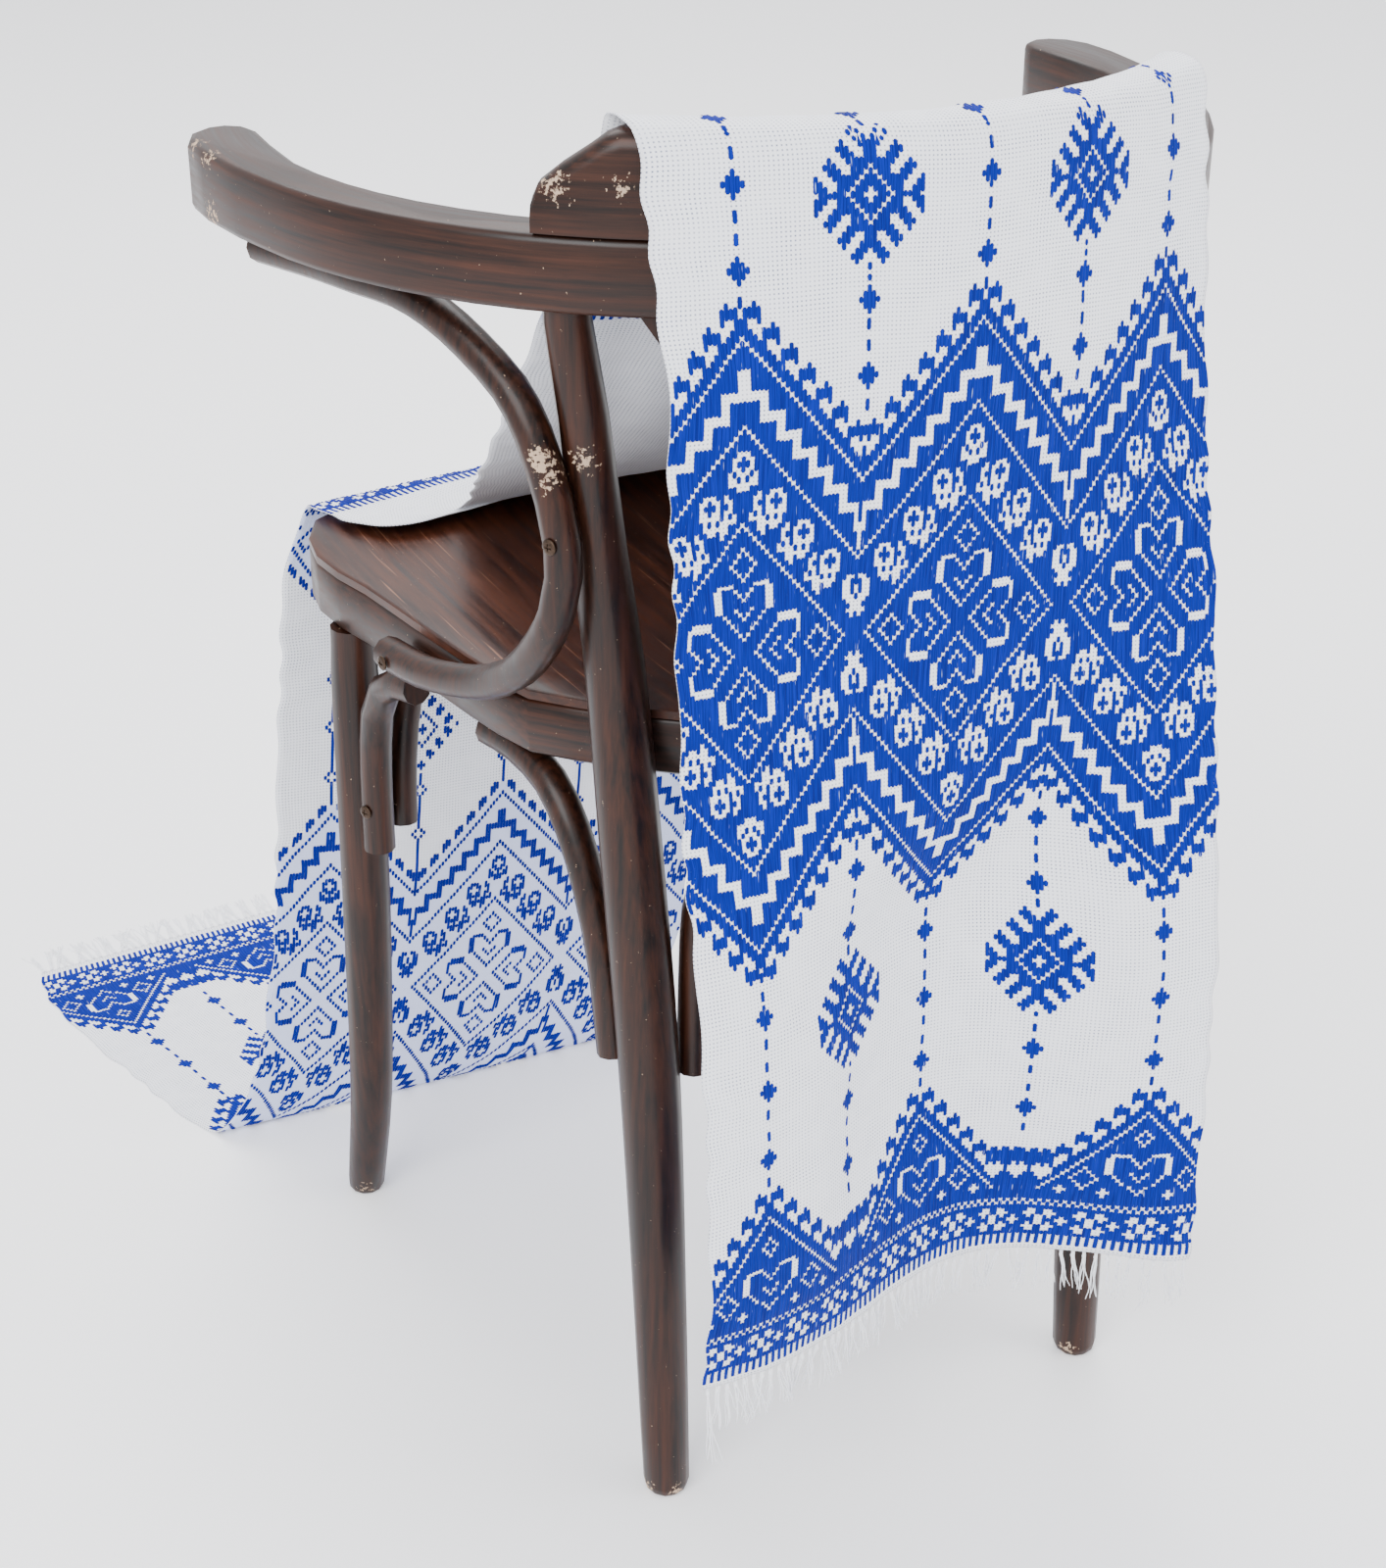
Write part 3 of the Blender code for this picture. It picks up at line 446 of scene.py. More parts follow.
def stair_zigzag():
    """True on the white stairs and on the stubs at their peaks and valleys."""
    index = np.clip(np.ceil((from_peak - STAIR_BAR) / STAIR_STEP), 0, None)
    level = STAIR_TOP - STAIR_STEP * index
    bars = (from_middle <= level) & (from_middle >= level - 1)
    nearest = np.round((from_peak - STAIR_BAR) / STAIR_STEP)
    riser = abs(from_peak - STAIR_BAR - STAIR_STEP * nearest) <= 0.5
    riser &= (nearest >= 0) & (from_peak < HALF_REPEAT - 1)
    upper = STAIR_TOP - STAIR_STEP * nearest
    risers = riser & (from_middle <= upper) & (from_middle >= upper - STAIR_STEP - 1)
    peak_stub = (from_peak <= 1) & (from_middle > STAIR_TOP) & (from_middle <= STAIR_TOP + 4)
    valley_stub = (from_peak >= HALF_REPEAT - 1) & (from_middle < level) & (from_middle > level - 6)
    return bars | risers | peak_stub | valley_stub


face_chart = (chevron <= SOLID_TO) | hooked_edge(from_middle, from_peak, SOLID_TO)
face_chart &= ~((chevron == OUTER_LINE) | (chevron == INNER_LINE) | (chevron == LOZENGE_LINE))
face_chart &= ~stair_zigzag()
print("blue squares in the chevron band", int(face_chart.sum()))

# %% [markdown]
# Roses climb each chevron from the valley to the peak: a half flower at the valley, three full
# ones on the way and a bud on top. The squares that are left white draw them.

# %% Roses, buds and half flowers
ROSE = (
    "..#..###.",
    ".##.##.##",
    ".#..#...#",
    ".##.##.##",
    "#.#.#####",
    "####.#.#.",
    "..######.",
    "..##.##..",
    "...#.....",
)
BUD = (
    "..###..",
    ".##.##.",
    ".#...#.",
    ".##.##.",
    "#.###.#",
    "##.#.##",
    "#######",
    "..###..",
)
HALF_FLOWER = (
    ".##.##.",
    "##...##",
    "##.#.##",
    "##.#.##",
    "###.###",
    ".#####.",
    "..###..",
    ".#####.",
    "..#.#..",
)
ROSE_LINE = 37
ROSES_FROM_PEAK = (8, 15, 22)
LEAF_SIDE = 2
for peak in PEAK_COLUMNS:
    for side in (-1, 1):
        for away in ROSES_FROM_PEAK:
            for half in (-1, 1):
                stamp(
                    face_chart, ROSE, BAND_ROW + half * (ROSE_LINE - away - 1),
                    peak + side * (away - LEAF_SIDE),
                    False, upward=half > 0, mirrored=side < 0,
                )
    for half in (-1, 1):
        stamp(face_chart, BUD, BAND_ROW + half * ROSE_LINE, peak, False, upward=half > 0)
for valley in VALLEY_COLUMNS:
    for half in (-1, 1):
        at = BAND_ROW + half * (ROSE_LINE - HALF_REPEAT)
        stamp(face_chart, HALF_FLOWER, at, valley, False, upward=half > 0)
print("roses", len(PEAK_COLUMNS) * 2 * len(ROSES_FROM_PEAK) * 2)

# %% [markdown]
# Four hearts meet with their tips in the middle of each lozenge, each with a small V in it and a
# small diamond beyond it. One rule draws the outline of a heart from the distance along its axis
# and the distance sideways, and serves all four.

# %% Hearts
HEART_TIP = 3
DIAMOND_AT = 18


def heart_outline(along, aside, half, flare):
    """True on a heart's outline and on its inner V; half is its half width."""
    aside = abs(aside)
    flank = np.minimum(np.round((along - HEART_TIP) * flare), half)
    lower = (along >= HEART_TIP) & (along <= 9) & (aside == flank)
    sides = (along >= 9) & (along <= 13) & (aside == half)
    sides |= (along >= 10) & (along <= 13) & (aside == half - 1)
    lobes = (along == 14) & (aside >= 3) & (aside <= half - 1)
    notch = (along == 13) & (aside == 2) | (along == 12) & (aside == 1) | (along == 11) & (aside == 0)
    vee = (along >= 7) & (along <= 9) & (aside == along - 7)
    return lower | sides | lobes | notch | vee


def small_diamond(along, aside, size):
    """True on the outline of a diamond."""
    return abs(along) + abs(aside) == size


in_lozenge = chevron < LOZENGE_LINE
hearts = heart_outline(from_middle, peak_offset, 7, 0.95)
hearts |= heart_outline(from_peak, row - BAND_ROW, 7, 0.95)
hearts |= small_diamond(from_middle - DIAMOND_AT, peak_offset, 3)
hearts |= small_diamond(from_peak - DIAMOND_AT - 1, row - BAND_ROW, 3)
face_chart &= ~(hearts & in_lozenge)
print("white squares in the lozenges", int((hearts & in_lozenge).sum()))

# %% [markdown]
# In the plain ground above and below the band, lines of small filled diamonds and short dashes
# run up from the peaks and the valleys, and a larger lozenge with spikes sits on each valley line.

# %% Diamonds, dashes and spiked lozenges
DIAMOND = (
    "..#..",
    ".###.",
    "#####",
    ".###.",
    "..#..",
)
PLAIN_LINES = (
    # columns, rows of the diamonds, rows of the spiked lozenges, first and last row of the line
    (PEAK_COLUMNS, (54, 70, 86), (), 46, 96),
    (PEAK_COLUMNS, (234, 249, 263), (), 226, 278),
    (VALLEY_COLUMNS, (40, 56, 96, 111), (78,), 31, 128),
    (VALLEY_COLUMNS, (213, 227, 264), (246,), 194, 294),
)
DASH_PITCH = 4.6
DASH_ROWS = 2
DIAMOND_REACH = 3
CORE = (2, 4)
BODY = (6, 8)
SPIKE_REACH = 13
SPIKE_PITCH = 6
SPIKE_WIDE = 3
SPIKE_SHIFT = 9


def spiked_lozenge(along, aside):
    """A lozenge in a lozenge, with slanting spikes on its four sides."""
    along, aside = abs(along), abs(aside)
    around = along + aside
    solid = (around >= CORE[0]) & (around <= CORE[1])
    solid |= (around >= BODY[0]) & (around <= BODY[1])
    spikes = (around > BODY[1]) & (around <= SPIKE_REACH + 2)
    spikes &= (aside - along + SPIKE_SHIFT) % SPIKE_PITCH < SPIKE_WIDE
    spikes &= (along <= SPIKE_REACH) & (aside <= SPIKE_REACH - 1)
    return solid | spikes


plain_motifs = np.zeros_like(face_chart)
reverse_lines = np.zeros_like(face_chart)
for columns, diamonds, lozenges, first, last in PLAIN_LINES:
    for at_column in columns:
        for at_row in lozenges:
            plain_motifs |= spiked_lozenge(row - at_row, column - at_column)
        for at_row in diamonds:
            stamp(plain_motifs, DIAMOND, at_row, at_column, True)
for columns, diamonds, lozenges, first, last in PLAIN_LINES:
    stops = [(first, first)] + [(at - DIAMOND_REACH, at + DIAMOND_REACH) for at in diamonds]
    stops += [(at - SPIKE_REACH - 1, at + SPIKE_REACH + 1) for at in lozenges] + [(last, last)]
    stops.sort()
    for (_, gap_start), (gap_end, _) in zip(stops, stops[1:]):
        dashes = max(1, round((gap_end - gap_start) / DASH_PITCH))
        for index in range(dashes):
            middle = gap_start + (gap_end - gap_start) * (index + 0.5) / dashes
            rows = DASH_ROWS if gap_end - gap_start > DASH_ROWS else 1
            start = round(middle - rows / 2 + 0.5)
            face_chart[start:start + rows, list(columns)] = True
        reverse_lines[gap_start:gap_end + 1, list(columns)] = True
face_chart |= plain_motifs
print("blue squares so far", int(face_chart.sum()))

# %% [markdown]
# The hem border stands on a comb of short bars. Above it run four-petalled flowers, a wavy line
# and a row of hooked triangles with a heart in each. The same border, turned over, closes the
# plain ground further along the cloth, so it is worked out as a function of the distance from its
# own base.

# %% Hem border
FLOWER = (
    ".##..##.",
    "###..###",
    ".#.##.#.",
    "...##...",
    ".#.##.#.",
    "###..###",
    ".##..##.",
)
STAR = (
    ".#.",
    "###",
    ".#.",
)
POCKET_HEART = (
    ".#.#.",
    "#####",
    "#####",
    ".###.",
    "..#..",
)
BORDER_ROWS = 47
TRIANGLE_SOLID = 43
TRIANGLE_FLAT = 20
STRIP_FLAT = 23
FLAT_TOP = 28
LINE_INSIDE = 3
LINE_FROM_ROW = 16
HEART_ROW = 14
TOP_DIAMOND_ROW = 33
SIDE_DIAMOND_ROW = 21
SIDE_DIAMOND_AWAY = 13
COMB_ROWS = 2
WAVE_ROW = 12
POCKET_ROW = 22
STAR_ROW = 17
FLOWER_ROW = 7
FLOWER_PITCH = 12


def border_chart():
    """The border's squares, from its base upwards."""
    r = row[:BORDER_ROWS + 1]
    away = from_peak[:BORDER_ROWS + 1]
    offset = peak_offset[:BORDER_ROWS + 1]
    chart = r + np.minimum(away, STRIP_FLAT) <= TRIANGLE_SOLID
    chart |= hooked_edge(r, away, TRIANGLE_SOLID) & (away <= TRIANGLE_FLAT)
    chart |= (away > TRIANGLE_FLAT) & (r <= FLAT_TOP - (away % 3 == 0))
    chart &= ~((r + away == TRIANGLE_SOLID - LINE_INSIDE) & (r > LINE_FROM_ROW))
    inside = r + away < TRIANGLE_SOLID - LINE_INSIDE - 1
    chart &= ~(heart_outline(r - HEART_ROW, offset, 8, 1.2) & inside)
    chart &= ~small_diamond(r - TOP_DIAMOND_ROW, offset, 2)
    chart &= ~small_diamond(r - SIDE_DIAMOND_ROW, away - SIDE_DIAMOND_AWAY, 3)
    odd = column[:BORDER_ROWS + 1] % 2
    chart &= ~((r <= COMB_ROWS) & (odd == 1))
    chart &= r != WAVE_ROW + odd
    return chart


border = border_chart()
middle_column = PEAK_COLUMNS[1]
for index in range(-7, 8):
    at_column = middle_column + index * FLOWER_PITCH
    stamp(border, FLOWER, FLOWER_ROW, at_column, False)
    stamp(border, STAR, FLOWER_ROW, at_column + FLOWER_PITCH / 2, False)
for valley in (VALLEY_COLUMNS[0] - 2 * HALF_REPEAT, *VALLEY_COLUMNS, VALLEY_COLUMNS[1] + 2 * HALF_REPEAT):
    for aside in (-6, 0, 6):
        stamp(border, POCKET_HEART, POCKET_ROW, valley + aside, False)
for peak in (*PEAK_COLUMNS, PEAK_COLUMNS[-1] + 2 * HALF_REPEAT):
    for aside in (-18, -8, 8, 18):
        stamp(border, STAR, STAR_ROW, peak + aside, False)
face_chart[:BORDER_ROWS + 1] |= border
face_chart[CHART_ROWS - BORDER_ROWS - 1:] |= border[::-1]
print("blue squares in all", int(face_chart.sum()))

# %% [markdown]
# ## The back of the weave
# A blue thread that isn't on the face lies on the back. So within each patterned zone the reverse
# is the chart turned over: pale where the face is blue, and blue where the face is white.

# %% The chart of the reverse
ENVELOPE = 67
border_slope = np.minimum(from_peak, TRIANGLE_FLAT)
zone = (chevron <= ENVELOPE) | (row + border_slope <= BORDER_ROWS - 2)
zone |= (CHART_ROWS - 1 - row) + border_slope <= BORDER_ROWS - 2
for columns, diamonds, lozenges, first, last in PLAIN_LINES:
    for at_column in columns:
        for at_row in lozenges:
            zone |= abs(row - at_row) + abs(column - at_column) <= SPIKE_REACH - 1
        for at_row in diamonds:
            reverse_lines |= small_diamond(row - at_row, column - at_column, 2)
reverse_chart = (zone & ~face_chart) | reverse_lines
print("blue squares on the reverse", int(reverse_chart.sum()))

# %% [markdown]
# ## Cotton cloth
# Bleached cotton in an open plain weave, about one thread a millimetre each way, woven by hand
# and washed soft. Cotton has no gloss: it is nearly all diffuse, with a short pale sheen from its
# fibres. The threads and the small gaps between them are a bump and painted shade that darkens the
# gaps to a blue-grey, drawn in millimetres of the cloth itself from a coordinate map, so that they
# follow every fold. The true thread is finer than this picture can show, so it is drawn at twice
# its pitch.

# %% Cotton ground
COTTON_WHITE = "EDEFF5"
# Blue-grey of the gaps between threads: painted shade.
COTTON_GAP_SHADE = "5A6484"
# Pale lilac of the reverse: the blue behind showing through, and painted shade.
LILAC_SHOWTHROUGH_AND_SHADE = "C9D2F2"
THREAD_MM = 2.1
MASK_EDGE = 1.5


def maths(tree, operation, first, second=0.0):
    return add(tree, "ShaderNodeMath", {"operation": operation}, _0=first, _1=second).outputs[0]


def soft_step(tree, value, edge):
    """One below the edge and nought above it, with a soft border."""
    return add(tree, "ShaderNodeMapRange", Value=value, From_Min=edge - MASK_EDGE / 2,
               From_Max=edge + MASK_EDGE / 2, To_Min=1.0, To_Max=0.0).outputs[0]


def patterned_zone(tree):
    """A mask of the patterned zones, worked out from the chart's own columns and rows."""
    chart = add(tree, "ShaderNodeUVMap", {"uv_map": "chart"})
    parts = add(tree, "ShaderNodeSeparateXYZ", Vector=chart.outputs[0])
    across = maths(tree, "SUBTRACT", parts.outputs[0], PEAK_COLUMNS[0] + 0.5)
    away = maths(tree, "PINGPONG", across, HALF_REPEAT)
    middle = maths(tree, "ABSOLUTE", maths(tree, "SUBTRACT", parts.outputs[1], BAND_ROW + 0.5))
    band = soft_step(tree, maths(tree, "ADD", middle, away), SOLID_TO + 1)
    sloped = maths(tree, "MINIMUM", away, TRIANGLE_FLAT)
    low = soft_step(tree, maths(tree, "ADD", parts.outputs[1], sloped), TRIANGLE_SOLID)
    turned = maths(tree, "SUBTRACT", CHART_ROWS - 1.0, parts.outputs[1])
    high = soft_step(tree, maths(tree, "ADD", turned, sloped), TRIANGLE_SOLID)
    before_base = soft_step(tree, parts.outputs[1], CHART_ROWS)
    high = maths(tree, "MULTIPLY", high, before_base)
    return maths(tree, "MAXIMUM", maths(tree, "MAXIMUM", band, low), high)


def cotton(name, shade_tinted):
    """Open-weave cotton with painted shade in its gaps; on the reverse a lilac tint in the patterned
    zones, partly the blue behind showing through and partly painted shade.
    """
    material, tree, shader = new_material(name)
    place = add(tree, "ShaderNodeUVMap", {"uv_map": "cloth_mm"})
    warp = add(tree, "ShaderNodeMapping", Vector=place.outputs[0], Scale=(1 / THREAD_MM, 0.06, 1))
    weft = add(tree, "ShaderNodeMapping", Vector=place.outputs[0], Scale=(0.06, 1 / THREAD_MM, 1))
    slub_a = add(tree, "ShaderNodeTexNoise", Vector=warp.outputs[0], Scale=1.3, Detail=2.0)
    slub_b = add(tree, "ShaderNodeTexNoise", Vector=weft.outputs[0], Scale=1.3, Detail=2.0)
    parts = add(tree, "ShaderNodeSeparateXYZ", Vector=place.outputs[0])
    rib = []
    for axis in (0, 1):
        turn = add(tree, "ShaderNodeMath", {"operation": "MULTIPLY"},
                   _0=parts.outputs[axis], _1=2 * math.pi / THREAD_MM)
        wave = add(tree, "ShaderNodeMath", {"operation": "COSINE"}, _0=turn.outputs[0])
        rib.append(wave.outputs[0])
    lattice = add(tree, "ShaderNodeMath", {"operation": "MINIMUM"}, _0=rib[0], _1=rib[1])
    # The gaps between the threads: a dent in the bump, and painted shade that darkens them.
    gaps_shade_and_depth = add(tree, "ShaderNodeMapRange", Value=lattice.outputs[0],
                From_Min=0.10, From_Max=0.85, To_Min=0.0, To_Max=1.0)
    patchy = add(tree, "ShaderNodeTexNoise", Vector=place.outputs[0], Scale=0.06, Detail=3.0)
    patch = add(tree, "ShaderNodeMapRange", Value=patchy.outputs[0],
                From_Min=0.35, From_Max=0.65, To_Min=0.5, To_Max=1.0)
    depth = add(tree, "ShaderNodeMath", {"operation": "MULTIPLY"},
                _0=gaps_shade_and_depth.outputs[0], _1=patch.outputs[0])
    cloth = add(tree, "ShaderNodeMix", {"data_type": "RGBA"}, _0=depth.outputs[0],
                _6=linear(COTTON_WHITE), _7=linear(COTTON_GAP_SHADE))
    colour = cloth.outputs[2]
    # In the patterned zones the reverse is tinted lilac: the blue behind showing through, and painted
    # shade of the shaded underside.
    if shade_tinted:
        colour = add(tree, "ShaderNodeMix", {"data_type": "RGBA"}, _0=patterned_zone(tree),
                     _6=colour, _7=linear(LILAC_SHOWTHROUGH_AND_SHADE)).outputs[2]
    threads = add(tree, "ShaderNodeMath", {"operation": "ADD"},
                  _0=slub_a.outputs[0], _1=slub_b.outputs[0])
    height = add(tree, "ShaderNodeMath", {"operation": "SUBTRACT"},
                 _0=threads.outputs[0], _1=depth.outputs[0])
    bump = add(tree, "ShaderNodeBump", Height=height.outputs[0], Strength=0.55, Distance=0.4 * MM)
    tree.links.new(colour, shader.inputs["Base Color"])
    tree.links.new(bump.outputs[0], shader.inputs["Normal"])
    shader.inputs["Roughness"].default_value = 0.88
    shader.inputs["Sheen Weight"].default_value = 0.25
    shader.inputs["Sheen Roughness"].default_value = 0.5
    shader.inputs["IOR"].default_value = 1.53
    return material


cotton_face = cotton("bleached_cotton_face_with_painted_gap_shade", False)
cotton_reverse = cotton("bleached_cotton_reverse_with_painted_shade", True)
print("cotton for both sides")

# %% [markdown]
# ## Where a chart row lies
# Each end of the cloth was woven from its own hem, and the two ends are beaten up a little
# differently: a row is 2.52 mm high on the end that hangs behind the chair and 2.37 mm on the end
# that lies on the floor.

# %% Rows to lengths
ENDS = {
    # name: length from the hem at the middle of the chevron band, height of a row
    "back": (0.410, 0.00252),
    "front": (0.388, 0.00237),
}


def length_of(rows, end):
    """Length from the back hem at a chart row of one end."""
    at_band, pitch = ENDS[end]
    from_hem = at_band + (np.asarray(rows, float) - BAND_ROW) * pitch
    return from_hem if end == "back" else LENGTH - from_hem


def row_of(lengths):
    """Chart row at a length from the back hem, counted from the nearer hem."""
    rows = []
    for end in ("back", "front"):
        at_band, pitch = ENDS[end]
        from_hem = lengths if end == "back" else LENGTH - lengths
        rows.append(BAND_ROW + (from_hem - at_band) / pitch)
    return np.where(lengths < LENGTH / 2, rows[0], rows[1])


# %% [markdown]
# ## The sheet
# The cloth is one thin sheet with two layers, the face and the reverse, closed round its edges.
# It could be a single layer with a thickness modifier, but the two sides have different
# materials, so both are made here. It carries two coordinate maps: millimetres for the weave and
# chart squares for the blue that shows through.

# %% Sheet of cloth
SHEET_THICK = 0.0006
COLUMN_MM = WIDTH * 1000 / COLUMNS
EVERY_ROW = 2
EVERY_COLUMN = 2


def make_sheet():
    grid = fabric[::EVERY_ROW, ::EVERY_COLUMN]
    normal = facing[::EVERY_ROW, ::EVERY_COLUMN]
    rows, columns = grid.shape[:2]
    half = normal * SHEET_THICK / 2
    points = np.concatenate([(grid + half).reshape(-1, 3), (grid - half).reshape(-1, 3)])
    index = np.arange(rows * columns).reshape(rows, columns)
    a, b = index[:-1, :-1].ravel(), index[:-1, 1:].ravel()
    c, d = index[1:, 1:].ravel(), index[1:, :-1].ravel()
    face = np.stack([a, b, c, d], axis=1)
    reverse = face[:, ::-1] + rows * columns
    rim = np.concatenate([index[0, :], index[1:, -1], index[-1, -2::-1], index[-2:0:-1, 0]])
    after = np.roll(rim, -1)
    edge = np.stack([after, rim, rim + rows * columns, after + rows * columns], axis=1)
    faces = np.concatenate([face, reverse, edge])
    sheet = mesh_object("towel_sheet", points, faces, [cotton_face, cotton_reverse])
    which = np.zeros(len(faces), int)
    which[len(face):len(face) + len(reverse)] = 1
    sheet.data.polygons.foreach_set("material_index", which)
    at_column = np.tile(np.arange(columns) * EVERY_COLUMN, (rows, 1)).ravel()
    at_length = np.repeat(np.arange(rows) * EVERY_ROW * LENGTH_STEP, columns)
    maps = {
        "cloth_mm": (at_column * COLUMN_MM, at_length * 1000),
        "chart": (at_column, row_of(at_length)),
    }
    loops = np.empty(len(sheet.data.loops), int)
    sheet.data.loops.foreach_get("vertex_index", loops)
    loops %= rows * columns
    for name, (u, v) in maps.items():
        layer = sheet.data.uv_layers.new(name=name)
        layer.uv.foreach_set("vector", np.stack([u[loops], v[loops]], axis=1).ravel())
    return sheet


towel_sheet = make_sheet()

# %% [markdown]
# ## Blue cotton yarn
# Mercerised cotton, dyed a strong ultramarine blue. On the cloth it lies in long
# floats side by side, so a filled area shows fine streaks along the cloth, with a little of the
# white ground between them here and there. Dyed yarn has a soft, broad sheen.

# %% Dyed yarn
YARN_BLUE = "001F92"
YARN_DEEP = "001068"
YARN_FLECK = "9DB4E6"


def dyed_yarn():
    material, tree, shader = new_material("mercerised_cotton_yarn_blue")
    place = add(tree, "ShaderNodeUVMap", {"uv_map": "cloth_mm"})
    strand = add(tree, "ShaderNodeMapping", Vector=place.outputs[0], Scale=(1.9, 0.035, 1))
    streak = add(tree, "ShaderNodeTexNoise", Vector=strand.outputs[0], Scale=1.0, Detail=3.0)
    share = add(tree, "ShaderNodeMapRange", Value=streak.outputs[0],
                From_Min=0.38, From_Max=0.62, To_Min=0.0, To_Max=1.0)
    blue = add(tree, "ShaderNodeMix", {"data_type": "RGBA"}, _0=share.outputs[0],
               _6=linear(YARN_BLUE), _7=linear(YARN_DEEP))
    gap = add(tree, "ShaderNodeMapping", Vector=place.outputs[0], Scale=(1.1, 0.09, 1),
              Location=(31.0, 7.0, 0.0))
    gaps = add(tree, "ShaderNodeTexNoise", Vector=gap.outputs[0], Scale=1.0, Detail=1.0)
    fleck = add(tree, "ShaderNodeMapRange", Value=gaps.outputs[0],
                From_Min=0.72, From_Max=0.78, To_Min=0.0, To_Max=0.8)
    colour = add(tree, "ShaderNodeMix", {"data_type": "RGBA"}, _0=fleck.outputs[0],
                 _6=blue.outputs[2], _7=linear(YARN_FLECK))
    bump = add(tree, "ShaderNodeBump", Height=streak.outputs[0], Strength=0.6, Distance=0.3 * MM)
    tree.links.new(colour.outputs[2], shader.inputs["Base Color"])
    tree.links.new(bump.outputs[0], shader.inputs["Normal"])
    shader.inputs["Roughness"].default_value = 0.72
    shader.inputs["Specular IOR Level"].default_value = 0.12
    shader.inputs["Sheen Weight"].default_value = 0.03
    shader.inputs["Sheen Roughness"].default_value = 0.4
    return material


blue_yarn = dyed_yarn()
print(blue_yarn.name)

# %% [markdown]
# ## Weaving the floats
# Down each column of the chart, a run of filled squares is one float of yarn that passes over
# the ground and dips back into it at both ends. Each float is a narrow domed ribbon on the
# sheet: three points across, a taper at both ends. The ends miss their rows by a hair, as they do
# on a hand loom.

# %% Floats
EDGE_LIFT = 0.00045
CROWN_LIFT = 0.00095
ROWS_A_SEGMENT = 2.0
END_TAPER = 0.34
END_WIDTH = 0.45
LOOSE_ROWS = 0.13
OVERRUN_ROWS = 0.20


def runs_of(chart):
    """Column, first row and last row of every unbroken run of filled squares."""
    padded = np.pad(chart.astype(int), ((1, 1), (0, 0)))
    change = np.diff(padded, axis=0).T
    starts = np.argwhere(change == 1)
    ends = np.argwhere(change == -1)
    return np.column_stack([starts, ends[:, 1]])


def float_sections(chart, generator):
    """Each section's column, row, half-width share and height share, and where a float ends."""
    sections = []
    last_of_run = []
    for at_column, start, end in runs_of(chart):
        first = start - OVERRUN_ROWS + generator.uniform(-LOOSE_ROWS, LOOSE_ROWS)
        last = end + OVERRUN_ROWS + generator.uniform(-LOOSE_ROWS, LOOSE_ROWS)
        pieces = max(1, round((last - first - 2 * END_TAPER) / ROWS_A_SEGMENT))
        inner = np.linspace(first + END_TAPER, last - END_TAPER, pieces + 1)
        sections.append((at_column, first, END_WIDTH, 0.0))
        sections += [(at_column, at_row, 1.0, 1.0) for at_row in inner]
        sections.append((at_column, last, END_WIDTH, 0.0))
        last_of_run.append(len(sections) - 1)
    return np.array(sections), np.array(last_of_run)


def weave(name, chart, end, side, width, seed):
    """A mesh of all the floats of a chart, on the face (side 1) or on the reverse (side -1)."""
    generator = np.random.default_rng(seed)
    sections, last_of_run = float_sections(chart, generator)
    centre = sections[:, 0] + 0.5
    lengths = length_of(sections[:, 1], end)
    lines = []
    maps = []
    for over, lift in ((-0.5, 0.0), (0.0, 1.0), (0.5, 0.0)):
        at_column = centre + over * width * sections[:, 2]
        height = EDGE_LIFT + (CROWN_LIFT - EDGE_LIFT) * lift * sections[:, 3]
        lines.append(on_cloth(at_column, lengths, side * height))
        maps.append(np.column_stack([at_column * COLUMN_MM, lengths * 1000]))
    points = np.stack(lines, axis=1).reshape(-1, 3)
    flat = np.stack(maps, axis=1).reshape(-1, 2)
    starts = np.setdiff1d(np.arange(len(sections)), last_of_run) * 3
    faces = []
    for strip in (0, 1):
        a = starts + strip
        faces.append(np.stack([a, a + 1, a + 4, a + 3], axis=1))
    faces = np.concatenate(faces)
    if (end == "front") != (side < 0):
        faces = faces[:, ::-1]
    made = mesh_object(name, points, faces, [blue_yarn])
    loops = np.empty(len(made.data.loops), int)
    made.data.loops.foreach_get("vertex_index", loops)
    layer = made.data.uv_layers.new(name="cloth_mm")
    layer.uv.foreach_set("vector", flat[loops].ravel())
    return made


floats = [
    weave("floats_face_back_end", face_chart, "back", 1, 1.04, 11),
    weave("floats_face_front_end", face_chart, "front", 1, 1.04, 12),
    weave("floats_reverse_back_end", reverse_chart, "back", -1, 0.98, 13),
    weave("floats_reverse_front_end", reverse_chart, "front", -1, 0.98, 14),
]

# %% [markdown]
# ## Fringe
# The warp ends are knotted in small bundles along both hems and left loose beyond the knots.
# Each strand could be a hair curve, but a few slim tubes to a bundle, joined in one mesh, keep
# their shape in every program. The strands hang straight down from the back hem and lie on the
# floor past the other one.

# %% Fringe cotton
def fringe_cotton():
    material, tree, shader = new_material("bleached_cotton_twisted_fringe")
    place = add(tree, "ShaderNodeTexCoord")
    fibre = add(tree, "ShaderNodeTexNoise", Vector=place.outputs["Object"], Scale=900.0, Detail=2.0)
    colour = add(tree, "ShaderNodeMix", {"data_type": "RGBA"}, _0=fibre.outputs[0],
                 _6=linear("E4E7F0"), _7=linear("FFFFFF"))
    bump = add(tree, "ShaderNodeBump", Height=fibre.outputs[0], Strength=0.4, Distance=0.2 * MM)
    tree.links.new(colour.outputs[2], shader.inputs["Base Color"])
    tree.links.new(bump.outputs[0], shader.inputs["Normal"])
    shader.inputs["Roughness"].default_value = 0.9
    shader.inputs["Sheen Weight"].default_value = 0.25
    return material


fringe_white = fringe_cotton()
print(fringe_white.name)

# %% Tubes along paths
TUBE_SIDES = 5


